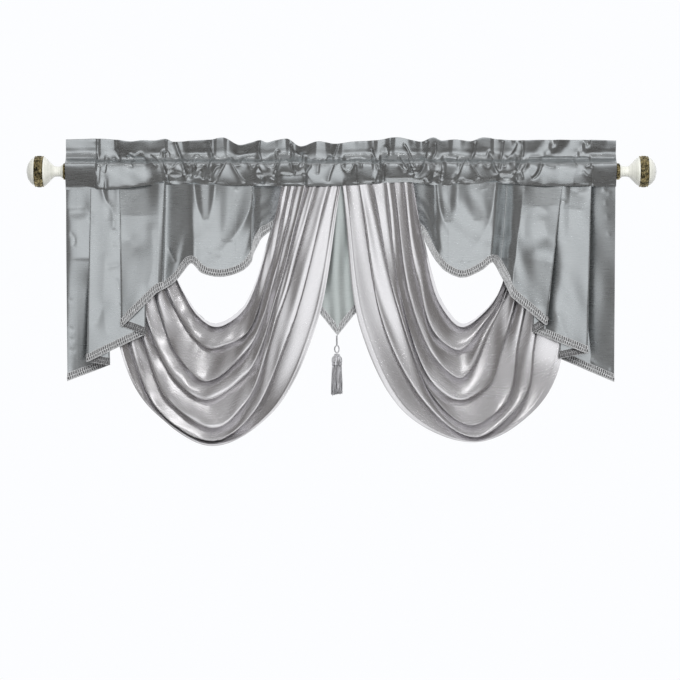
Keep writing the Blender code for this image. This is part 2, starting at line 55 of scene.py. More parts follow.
# %% Camera
PICTURE_WIDTH = 1.564
VIEW_DISTANCE = 6.0
VIEW_CENTRE = (-0.0023, -0.3875)
SENSOR_WIDTH = 36.0


def add_camera():
    lens = bpy.data.cameras.new("camera")
    lens.sensor_width = SENSOR_WIDTH
    lens.lens = lens.sensor_width * VIEW_DISTANCE / PICTURE_WIDTH
    camera = bpy.data.objects.new("camera", lens)
    camera.location = (VIEW_CENTRE[0], -VIEW_DISTANCE, VIEW_CENTRE[1])
    camera.rotation_euler = (math.pi / 2.0, 0.0, 0.0)
    bpy.context.scene.collection.objects.link(camera)
    bpy.context.scene.camera = camera
    print("camera", round(lens.lens, 1), "mm lens")


add_camera()

# %% [markdown]
# Cloth hangs in smooth curves through the few places where it is held or folded. A plain spline
# swings past such places, so `curve` is held between its keys, `hang` lets a fold sag freely, and
# `spline` rounds a path through rows of points.

# %% Smooth curves
TINY = 1e-9


def between(keys, values, tangent, places):
    """Values between keys, with a given slope at each key."""
    step = np.diff(keys)
    part = np.clip(np.searchsorted(keys, places, side="right") - 1, 0, len(step) - 1)
    share = (places - keys[part]) / step[part]
    rise = share * share * (3.0 - 2.0 * share)
    start_pull = share * (1.0 - share) ** 2 * step[part] * tangent[part]
    end_pull = share * share * (share - 1.0) * step[part] * tangent[part + 1]
    return values[part] + (values[part + 1] - values[part]) * rise + start_pull + end_pull


def curve(keys, values, places):
    """A smooth line through keys that never swings past them."""
    keys = np.asarray(keys, float)
    values = np.asarray(values, float)
    places = np.clip(np.asarray(places, float), keys[0], keys[-1])
    slope = np.diff(values) / np.diff(keys)
    tangent = np.zeros_like(values)
    for index in range(1, len(keys) - 1):
        before, after = slope[index - 1], slope[index]
        if before * after > 0.0:
            tangent[index] = 2.0 * before * after / (before + after)
    tangent[0] = slope[0]
    tangent[-1] = slope[-1]
    return between(keys, values, tangent, places)


def hang(knots, values, places):
    """A freely sagging line through knots."""
    width = np.diff(knots)
    slope = np.diff(values) / width
    tangent = np.empty(len(values))
    tangent[1:-1] = (slope[:-1] * width[1:] + slope[1:] * width[:-1]) / (width[1:] + width[:-1])
    tangent[0] = slope[0]
    tangent[-1] = slope[-1]
    return between(knots, values, tangent, places)


def spline(rows, count):
    """A rounded path through rows, with count steps from each to the next."""
    rows = np.asarray(rows, float)
    padded = np.concatenate([[2 * rows[0] - rows[1]], rows, [2 * rows[-1] - rows[-2]]])
    path = []
    for index in range(1, len(padded) - 2):
        before, start, end, after = padded[index - 1:index + 3]
        for share in np.arange(count) / count:
            blend = share * share * (3.0 - 2.0 * share)
            pull = share * (1.0 - share) ** 2 * (end - before)
            push = share * share * (share - 1.0) * (after - start)
            path.append(start + (end - start) * blend + 0.5 * (pull + push))
    path.append(rows[-1])
    return np.array(path)


def smooth_step(low, high, value):
    share = np.clip((value - low) / (high - low), 0.0, 1.0)
    return share * share * (3.0 - 2.0 * share)


print("curve, hang, spline and smooth_step")

# %% [markdown]
# No real cloth is even, and a noise texture can't be added to points in numpy. A few sine waves in
# seeded directions give soft ripples that are the same on each run. The other two helpers measure
# a grid of points: how long it is along the cloth, and which way it faces.

# %% Ripples and measures of a grid
WAVE_PACES = (0.6, 1.6)


def ripples(across, along, seed, waves, slant):
    """Soft uneven waves that cross the first coordinate, about -1 to 1."""
    random = np.random.default_rng(seed)
    total = np.zeros(np.broadcast(across, along).shape)
    for _ in range(waves):
        pace = random.uniform(*WAVE_PACES)
        lean = random.normal(0.0, slant)
        turn = random.uniform(0.0, math.tau)
        total += np.sin(math.tau * (across * pace + along * lean) + turn)
    return total / math.sqrt(waves)


def row_lengths(grid, axis):
    """Length along the cloth from its first row or column, in the grid's unit."""
    steps = np.linalg.norm(np.diff(grid, axis=axis), axis=2)
    shape = list(steps.shape)
    shape[axis] = 1
    return np.concatenate([np.zeros(shape), np.cumsum(steps, axis=axis)], axis=axis)


def normals(grid):
    normal = np.cross(np.gradient(grid, axis=1), np.gradient(grid, axis=0))
    return normal / np.maximum(np.linalg.norm(normal, axis=2, keepdims=True), TINY)


print("ripples, row_lengths and normals")

# %% [markdown]
# A material is a tree of nodes, which is long to write out. Wire wraps one socket, so that
# `slubs * 0.5 + threads * 0.25` adds the maths nodes by itself, and `node` adds any other kind.

# %% Shader sums
# Sockets of the Mix node that hold colours
MIX_LOW = 6
MIX_HIGH = 7
MIX_RESULT = 2


class Wire:
    """A socket of a node tree."""

    def __init__(self, tree, socket=None):
        self.tree = tree
        self.socket = socket

    def node(self, kind, inputs, output=0, **settings):
        """Add a node with its settings, then the values or links of its sockets."""
        made = self.tree.nodes.new(kind)
        for name, value in settings.items():
            setattr(made, name, value)
        for name, value in inputs.items():
            if isinstance(value, Wire):
                self.tree.links.new(value.socket, made.inputs[name])
            else:
                made.inputs[name].default_value = value
        return Wire(self.tree, made.outputs[output])

    def __add__(self, other):
        return self.node("ShaderNodeMath", {0: self, 1: other}, operation="ADD")

    def __mul__(self, other):
        return self.node("ShaderNodeMath", {0: self, 1: other}, operation="MULTIPLY")

    __radd__ = __add__
    __rmul__ = __mul__

    def span(self, low, high, to_low, to_high, **settings):
        """Map low to to_low and high to to_high, and stay between them."""
        ends = {"Value": self, "From Min": low, "From Max": high, "To Min": to_low, "To Max": to_high}
        return self.node("ShaderNodeMapRange", ends, **settings)

    def eased(self, low, high, to_low, to_high):
        return self.span(low, high, to_low, to_high, interpolation_type="SMOOTHSTEP")

    def stretched(self, x, y, z):
        return self.node("ShaderNodeVectorMath", {0: self, 1: (x, y, z)}, operation="MULTIPLY")

    def noise(self, scale=1.0, detail=2.0, rough=0.5):
        inputs = {"Vector": self, "Scale": scale, "Detail": detail, "Roughness": rough}
        return self.node("ShaderNodeTexNoise", inputs)

    def mix(self, low, high):
        """Blend two colours, each a wire or three numbers."""
        low, high = (one if isinstance(one, Wire) else (*one, 1.0) for one in (low, high))
        inputs = {"Factor": self, MIX_LOW: low, MIX_HIGH: high}
        return self.node("ShaderNodeMix", inputs, MIX_RESULT, data_type="RGBA")


print("Wire adds maths, map range, noise and mix nodes")

# %% [markdown]
# Each finish is one Principled material. What is the same all over it is set on the shader's own
# sockets. Only the colour, the roughness and the bump are wired, because they alone change over
# the surface. Cloth reads its place on the cloth, so that the weave follows every fold.

# %% One finish
# A noise texture spends nearly all its area between these values
NOISE_ENDS = (0.3, 0.7)


class Look:
    """A Principled material; constants go on its sockets and wires into its varying ones."""

    def __init__(self, name, **constants):
        self.material = bpy.data.materials.new(name)
        self.material.use_nodes = True
        self.tree = self.material.node_tree
        self.shader = self.tree.nodes["Principled BSDF"]
        for label, value in constants.items():
            self.shader.inputs[label.replace("_", " ")].default_value = value

    def cloth(self):
        """Place on the cloth: metres across, metres down."""
        return Wire(self.tree).node("ShaderNodeAttribute", {}, "Vector", attribute_name="cloth")

    def place(self):
        return Wire(self.tree).node("ShaderNodeTexCoord", {}, "Object")

    def drive(self, label, wire):
        self.tree.links.new(wire.socket, self.shader.inputs[label])

    def colour(self, tone, ends, dark, light):
        """Blend from dark to light while the tone goes from one end to the other."""
        self.drive("Base Color", tone.span(*ends, 0.0, 1.0).mix(dark, light))

    def roughness(self, tone, smooth, rough):
        self.drive("Roughness", tone.span(*NOISE_ENDS, smooth, rough))

    def bump(self, height, strength, distance):
        inputs = {"Strength": strength, "Distance": distance, "Height": height}
        self.drive("Normal", height.node("ShaderNodeBump", inputs))


print("Look makes one Principled material")

# %% [markdown]
# Taffeta is a stiff cloth with a hard silvery shine, and its weft has slubs, thicker bits of yarn
# that run across the cloth. Satin is paler and smoother. A picture of the weave would blur up
# close, so stretched noise makes the slubs and threads: half slubs, a quarter threads and a
# quarter broad clouds. The cloth is nearly as metallic as foil, because it mirrors the room.

# %% Taffeta and satin
SLUB_LONG = 28.0
SLUB_FINE = 420.0
THREAD_LONG = 140.0
THREAD_FINE = 1500.0
CLOUDS = 9.0
SLUB_BUMP = 0.5


def woven_look(name, dark, light, slub_depth, smooth, rough, metallic):
    look = Look(name, Metallic=metallic, Specular_IOR_Level=0.6, Sheen_Weight=0.12, Sheen_Roughness=0.4)
    cloth = look.cloth()
    slubs = cloth.stretched(SLUB_LONG, SLUB_FINE, 1.0).noise(rough=0.6)
    threads = cloth.stretched(THREAD_LONG, THREAD_FINE, 1.0).noise(detail=1.0)
    clouds = cloth.stretched(CLOUDS, CLOUDS, 1.0).noise()
    look.colour(slubs * 0.5 + threads * 0.25 + clouds * 0.25, NOISE_ENDS, dark, light)
    look.roughness(slubs * 0.6 + clouds * 0.4, smooth, rough)
    look.bump(slubs * 0.65 + threads * 0.35, SLUB_BUMP, slub_depth)
    return look.material


cloth_looks = {
    "taffeta": woven_look("taffeta", dark=(0.45, 0.475, 0.485), light=(0.58, 0.605, 0.615),
                          slub_depth=0.00022, smooth=0.24, rough=0.34, metallic=0.93),
    "satin": woven_look("satin", dark=(0.72, 0.71, 0.72), light=(0.87, 0.86, 0.88),
                        slub_depth=0.00004, smooth=0.22, rough=0.29, metallic=0.92),
    "pale_satin": woven_look("pale_satin", dark=(0.48, 0.53, 0.515), light=(0.62, 0.66, 0.65),
                             slub_depth=0.0002, smooth=0.28, rough=0.38, metallic=0.88),
}
print("cloth", sorted(cloth_looks))

# %% [markdown]
# The braid and the tassel are rayon yarn, which shines less than the cloth. Their loops and strands
# are real geometry further down. The finish only adds the fibres inside a strand, fine noise that is
# drawn out along the tassel's strands, and patches of a braid that has been handled.

# %% Braid and tassel yarn
YARN_ENDS = (0.35, 0.65)
STRAND_NOISE = 2600.0
PATCH_NOISE = 260.0
FIBRE_STRETCH = (420.0, 420.0, 40.0)


def braid_look(name, dark, light):
    look = Look(name, Specular_IOR_Level=0.5, Sheen_Weight=0.2, Metallic=0.35)
    place = look.place()
    strands = place.noise(STRAND_NOISE, rough=0.6)
    patches = place.noise(PATCH_NOISE, detail=1.0)
    look.colour(strands * 0.6 + patches * 0.4, YARN_ENDS, dark, light)
    look.roughness(strands, 0.4, 0.65)
    look.bump(strands, 0.4, 0.0002)
    return look.material


def yarn_look():
    look = Look("tassel_yarn", Specular_IOR_Level=0.5, Sheen_Weight=0.25, Metallic=0.25)
    fibres = look.place().stretched(*FIBRE_STRETCH).noise(rough=0.6)
    look.colour(fibres, YARN_ENDS, dark=(0.12, 0.12, 0.125), light=(0.74, 0.74, 0.77))
    look.roughness(fibres, 0.38, 0.6)
    look.bump(fibres, 0.5, 0.0002)
    return look.material


hard_looks = {
    "gimp_braid": braid_look("gimp_braid", dark=(0.36, 0.365, 0.37), light=(0.88, 0.89, 0.90)),
    # Near-black tape colour: painted shade in the gaps between the braid's loops and along its edges
    "gimp_shade_ground": braid_look("gimp_shade_ground", dark=(0.06, 0.06, 0.062), light=(0.20, 0.20, 0.205)),
    "tassel_yarn": yarn_look(),
}
print("trims", sorted(hard_looks))

# %% [markdown]
# The finials are turned wood in cream gloss, with faint rings from the lathe and old stains. Their
# bands and collars are aged bronze, dark in the hollows and gold where it is rubbed, so dark and
# gold are mixed by two sizes of noise. The pole is plain painted wood with its grain lengthways.

# %% Cream gloss, aged bronze and the pole
TURNING_STRETCH = (420.0, 14.0, 14.0)
STAIN_NOISE = 34.0
CREAM_ENDS = (0.36, 0.66)
GRIME_NOISE = 330.0
RUBBED_NOISE = 120.0
BRONZE_ENDS = (0.42, 0.60)
GRAIN_STRETCH = (6.0, 220.0, 220.0)


def cream_look():
    look = Look("cream_gloss", Coat_Weight=0.5, Coat_Roughness=0.12)
    place = look.place()
    rings = place.stretched(*TURNING_STRETCH).noise()
    stains = place.noise(STAIN_NOISE, 3.0, 0.55)
    look.colour(rings * 0.55 + stains * 0.45, CREAM_ENDS, dark=(0.68, 0.69, 0.62), light=(0.85, 0.85, 0.79))
    look.roughness(stains, 0.2, 0.36)
    look.bump(rings, 0.15, 0.0003)
    return look.material


def bronze_look():
    look = Look("aged_bronze", Metallic=0.85, Specular_IOR_Level=0.5)
    place = look.place()
    grime = place.noise(GRIME_NOISE, 3.0, 0.6)
    rubbed = place.noise(RUBBED_NOISE)
    look.colour(grime * 0.6 + rubbed * 0.4, BRONZE_ENDS, dark=(0.018, 0.017, 0.01), light=(0.60, 0.50, 0.26))
    look.roughness(grime, 0.3, 0.55)
    look.bump(grime, 0.35, 0.0003)
    return look.material


def pole_look():
    look = Look("plain_pole", Coat_Weight=0.2, Coat_Roughness=0.3)
    grain = look.place().stretched(*GRAIN_STRETCH).noise(1.0, 3.0, 0.6)
    look.colour(grain, YARN_ENDS, dark=(0.52, 0.50, 0.43), light=(0.66, 0.64, 0.57))
    look.roughness(grain, 0.35, 0.5)
    look.bump(grain, 0.1, 0.0002)
    return look.material


hard_looks["cream_gloss"] = cream_look()
hard_looks["aged_bronze"] = bronze_look()
hard_looks["plain_pole"] = pole_look()
print("materials", sorted(cloth_looks) + sorted(hard_looks))

# %% [markdown]
# Cloth is thin, so a grid of points becomes one open sheet. Blender's primitives know nothing of
# the cloth, so the mesh also remembers how far across and down the cloth each point is, which the
# weave needs. Yarn, scrolls and turned wood are closed skins over rings of points.

# %% Sheets
def add_piece(name, points, faces, look, cloth=None):
    mesh = bpy.data.meshes.new(name)
    points = np.asarray(points, float).reshape(-1, 3) * MM
    mesh.from_pydata(points.tolist(), [], [tuple(int(one) for one in face) for face in faces])
    mesh.polygons.foreach_set("use_smooth", [True] * len(mesh.polygons))
    if cloth is not None:
        stored = mesh.attributes.new("cloth", "FLOAT_VECTOR", "POINT")
        stored.data.foreach_set("vector", np.asarray(cloth, float).reshape(-1) * MM)
    mesh.materials.append(look)
    mesh.update()
    piece = bpy.data.objects.new(name, mesh)
    bpy.context.scene.collection.objects.link(piece)
    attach(piece, "root")
    return piece


def grid_faces(rows, columns):
    corner = np.arange(rows * columns).reshape(rows, columns)
    quads = np.stack([corner[:-1, :-1], corner[1:, :-1], corner[1:, 1:], corner[:-1, 1:]], axis=-1)
    return quads.reshape(-1, 4)


def sheet_piece(name, grid, look):
    across = row_lengths(grid, 1)
    down = row_lengths(grid, 0)
    cloth = np.stack([across, down, np.zeros_like(down)], axis=-1)
    return add_piece(name, grid, grid_faces(*grid.shape[:2]), look, cloth)


print("add_piece and sheet_piece")

# %% Closed skins
NEARLY_UPRIGHT = 0.05
SHORTEST = 1e-6


def ring_faces(rings, sides, closed=False):
    """Skin over rings of points, with a cap at each end unless the rings close on themselves."""
    faces = []
    for ring in range(rings if closed else rings - 1):
        near, far = ring * sides, (ring + 1) % rings * sides
        for one in range(sides):
            two = (one + 1) % sides
            faces.append((near + one, far + one, far + two, near + two))
    if not closed:
        faces.append(tuple(range(sides)))
        faces.append(tuple(range((rings - 1) * sides, rings * sides))[::-1])
    return faces


def tube(path, radius, sides, closed=False):
    """Points and faces of a tube along a path; the radius may vary along it."""
    path = np.asarray(path, float)
    count = len(path)
    if closed:
        ahead = np.roll(path, -1, axis=0) - np.roll(path, 1, axis=0)
    else:
        ahead = np.gradient(path, axis=0)
    ahead /= np.maximum(np.linalg.norm(ahead, axis=1, keepdims=True), TINY)
    side = np.cross(ahead, (0.0, 0.0, 1.0))
    upright = np.linalg.norm(side, axis=1) < NEARLY_UPRIGHT
    side[upright] = np.cross(ahead[upright], (1.0, 0.0, 0.0))
    for index in range(1, count):
        leant = side[index - 1] - ahead[index] * np.dot(side[index - 1], ahead[index])
        size = np.linalg.norm(leant)
        if size > SHORTEST:
            side[index] = leant / size
    side /= np.maximum(np.linalg.norm(side, axis=1, keepdims=True), TINY)
    up = np.cross(side, ahead)
    turn = math.tau * np.arange(sides) / sides
    reach = np.broadcast_to(np.asarray(radius, float), (count,))[:, None, None]
    ring = side[:, None, :] * np.cos(turn)[None, :, None] + up[:, None, :] * np.sin(turn)[None, :, None]
    points = (path[:, None, :] + ring * reach).reshape(-1, 3)
    return points, ring_faces(count, sides, closed)


def joined(parts):
    """One list of points and faces from several."""
    points, faces, start = [], [], 0
    for some_points, some_faces in parts:
        points.append(some_points)
        faces += [tuple(start + one for one in face) for face in some_faces]
        start += len(some_points)
    return np.vstack(points), faces


print("tube and joined")

# %% [markdown]
# Each end of the pole has a turned ball on a collar, with a bronze band round the widest part. The
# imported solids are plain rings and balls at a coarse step. A lathe shape needs only its profile, so
# the same profile is turned again at a finer step, with grooves cut into it. The pole keeps its solid.

# %% Turned ball
PART_GAP = 0.4
FINE_SIDES = 96
FINIAL_PROFILE = [
    (0.0, 14.6), (0.6, 15.6), (2.6, 15.3), (4.8, 13.2), (8.0, 12.0), (15.0, 11.8),
    (20.5, 13.0), (25.5, 17.4), (30.5, 22.4), (37.0, 29.0), (42.5, 32.6), (54.8, 34.0), (65.6, 32.6),
    (71.5, 29.6), (77.0, 23.8), (81.0, 17.0), (83.6, 7.5),
]
PROFILE_STEPS = 5
FINIAL_TIP = [(84.2, 4.5), (84.4, 1.2)]
# Distance from the ball's start, depth
GROOVES = [(3.9, 0.5), (19.0, 0.45), (24.2, 0.35), (43.4, 0.7), (66.2, 0.7)]
GROOVE_WIDTH = 0.5


def turned(profile, sides, start, sign, ripple=None):
    """Points and faces of a shape turned round the pole's axis; ripple adds to the radius."""
    profile = np.asarray(profile, float)
    turn = math.tau * np.arange(sides) / sides
    radius = profile[:, 1][:, None] + np.zeros(sides)[None, :]
    if ripple is not None:
        radius = radius + ripple(profile[:, 0][:, None], turn[None, :])
    x = start + sign * profile[:, 0][:, None] + np.zeros(sides)[None, :]
    points = np.stack([x, radius * np.cos(turn), radius * np.sin(turn)], axis=-1).reshape(-1, 3)
    faces = ring_faces(len(profile), sides)
    return points, faces if sign > 0 else [face[::-1] for face in faces]


def finial(side, sign, start):
    fine = spline(FINIAL_PROFILE, PROFILE_STEPS)
    for place, depth in GROOVES:
        fine[:, 1] -= depth * np.exp(-((fine[:, 0] - place) / GROOVE_WIDTH) ** 2)
    ball = turned(np.vstack([fine, FINIAL_TIP]), FINE_SIDES, start, sign)
    piece = add_piece(side + "_finial_turned", *ball, hard_looks["cream_gloss"])
    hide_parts(side + "_finial")
    print(side, "finial", len(fine), "steps long")


# %% [markdown]
# The band is cast with leaf scrolls between two beaded edges. The real pattern is too small to read,
# so it is a plain one of its kind: pairs of scrolls that wind in at both ends, as thin tubes that
# follow the band's bow. Real tubes catch the light as cast metal does, where bump would stay flat.

# %% Scrolled band
BAND_START = 44.6
BAND_END = 64.8
BAND_INNER = 34.2
BAND_CROWN = 35.5
BAND_BOW = 0.9
BAND_STEPS = 15
BEADS = 60
BEAD_INSET = 1.2
BEAD_SINK = 0.55
BEAD_SWELL = 0.22
BEAD_RADIUS = 0.62
SCROLLS = 11
SCROLL_STEPS = 41
SCROLL_WIND = 1.35
SCROLL_REACH = 3.4
SCROLL_CLOSE = 0.62
SCROLL_APART = 2.9
SCROLL_OFF_MIDDLE = 4.1
SCROLL_DRAWN_IN = 0.2
# Share of the curl across and round the band
SCROLL_CURL = (0.7, 0.9)
SCROLL_LIFT = 0.12
SCROLL_RADIUS = 0.75
SCROLL_TAPER = 0.3


def scroll_tube(x, middle, way):
    """A leaf scroll that winds in at both ends, laid on the band."""
    wind = np.linspace(-1.0, 1.0, SCROLL_STEPS)
    curl = math.pi * SCROLL_WIND * wind
    reach = SCROLL_REACH * (1.0 - SCROLL_CLOSE * np.abs(wind))
    apart = SCROLL_APART * np.sign(wind) * (1.0 - np.abs(wind) * SCROLL_DRAWN_IN)
    across = apart + reach * np.sin(curl) * SCROLL_CURL[0]
    around = way * (SCROLL_OFF_MIDDLE + reach * np.cos(curl) * SCROLL_CURL[1])
    half_band = (BAND_END - BAND_START) / 2.0
    radius = BAND_CROWN - BAND_BOW * (across / half_band) ** 2 + SCROLL_LIFT
    angle = middle + around / BAND_CROWN
    path = np.column_stack([x + across, radius * np.cos(angle), radius * np.sin(angle)])
    return tube(path, SCROLL_RADIUS - SCROLL_TAPER * np.abs(wind), sides=5)


def bead_ring(x):
    turns = np.linspace(0.0, math.tau, 4 * BEADS + 1)[:-1]
    radius = BAND_CROWN - BEAD_SINK + BEAD_SWELL * np.cos(turns * BEADS)
    path = np.column_stack([np.full_like(turns, x), radius * np.cos(turns), radius * np.sin(turns)])
    return tube(path, BEAD_RADIUS, sides=6, closed=True)


def band(side, sign, start):
    """Crowned band with a beaded edge and a row of paired scrolls."""
    length = BAND_END - BAND_START
    shares = np.linspace(0.0, 1.0, BAND_STEPS)
    outer = [(share * length, BAND_CROWN - BAND_BOW * (2.0 * share - 1.0) ** 2) for share in shares]
    profile = [(0.0, BAND_INNER)] + outer + [(length, BAND_INNER)]
    parts = [turned(profile, FINE_SIDES, start + sign * BAND_START, sign)]
    for place in (BEAD_INSET, length - BEAD_INSET):
        parts.append(bead_ring(start + sign * (BAND_START + place)))
    for scroll in range(SCROLLS):
        middle = math.tau * scroll / SCROLLS
        for way in (1.0, -1.0):
            parts.append(scroll_tube(start + sign * (BAND_START + length / 2.0), middle, way))
    piece = add_piece(side + "_finial_band_scrolled", *joined(parts), hard_looks["aged_bronze"])
    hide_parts(side + "_finial_band")
    print(side, "band with", 2 * SCROLLS, "scrolls")


# %% [markdown]
# Between the pole and each ball sits a bronze collar with slanting notches, like the edge of a coin.
# The notches are a ripple in the radius of a turned ring, so that no cutting is needed.

# %% Notched collars, and all the hard parts
COLLAR_RADIUS = 19.1
COLLAR_BORE = 6.0
LEFT_COLLAR = (-638.3, -633.2)
RIGHT_COLLAR = (640.6, 632.4)
COLLAR_STEPS = 11
NOTCH_WAVES = 13
NOTCH_SLANT = 1.6
NOTCH_FLOOR = 0.35
NOTCH_DEPTH = 0.75
NOTCH_ROUND = 0.5
COLLAR_SINK = 1.1


def collar(side, sign, outside, inside):
    width = abs(outside - inside)

    def notched(distance, turn):
        share = distance / width
        swell = 4.0 * share * (1.0 - share)
        notch = np.abs(np.sin(turn * NOTCH_WAVES + share * NOTCH_SLANT)) ** NOTCH_ROUND
        return swell * (NOTCH_FLOOR + NOTCH_DEPTH * notch) - COLLAR_SINK

    rim = [(share * width, COLLAR_RADIUS) for share in np.linspace(0.0, 1.0, COLLAR_STEPS)]
    profile = [(0.0, COLLAR_BORE)] + rim + [(width, COLLAR_BORE)]
    ring = turned(profile, 16 * NOTCH_WAVES, inside, sign, notched)
    piece = add_piece(side + "_collar_notched", *ring, hard_looks["aged_bronze"])
    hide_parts(side + "_collar")


def hard_parts():
    pole = bpy.data.objects["rod"]
    pole.material_slots[0].material = hard_looks["plain_pole"]
    for side, sign, (outside, inside) in (("left", -1, LEFT_COLLAR), ("right", 1, RIGHT_COLLAR)):
        collar(side, sign, outside, inside)
        start = outside + sign * PART_GAP
        finial(side, sign, start)
        band(side, sign, start)
    print("pole, finials, bands and collars")


hard_parts()

# %% [markdown]
# The heading is one strip folded over the pole and sewn above and below it, so that a pocket holds
# the pole and a ruffle stands up above it. Cloth simulation would gather it, but with folds in other
# places than the real ones. So the strip is a plain folded section, and the gathers are laid on it:
# valleys between puffs of cloth, which run from the ruffle down into the pocket and fade.

# %% Outline of the heading
HEADER_TOP = [
    (-632, 73), (-596, 74), (-559, 75), (-538, 74), (-515, 72), (-483, 68), (-455, 71),
    (-430, 70), (-402, 74), (-386, 68), (-375, 68), (-340, 70), (-304, 72), (-271, 77),
    (-232, 60), (-205, 66), (-186, 71), (-170, 66), (-154, 70), (-126, 75), (-92, 57),
    (-51, 69), (-14, 63), (25, 68), (80, 71), (129, 78), (184, 68), (212, 77), (232, 70),
    (262, 73), (297, 69), (327, 77), (363, 73), (393, 71), (425, 71), (460, 72), (499, 72),
    (550, 72), (632, 70),
]
POCKET_SEAM = [
    (-632, -40), (-560, -40), (-500, -37), (-402, -27), (-345, -29), (-300, -30),
    (-200, -31), (-60, -32), (20, -30), (94, -25), (152, -23), (230, -31), (354, -25),
    (450, -31), (632, -33),
]

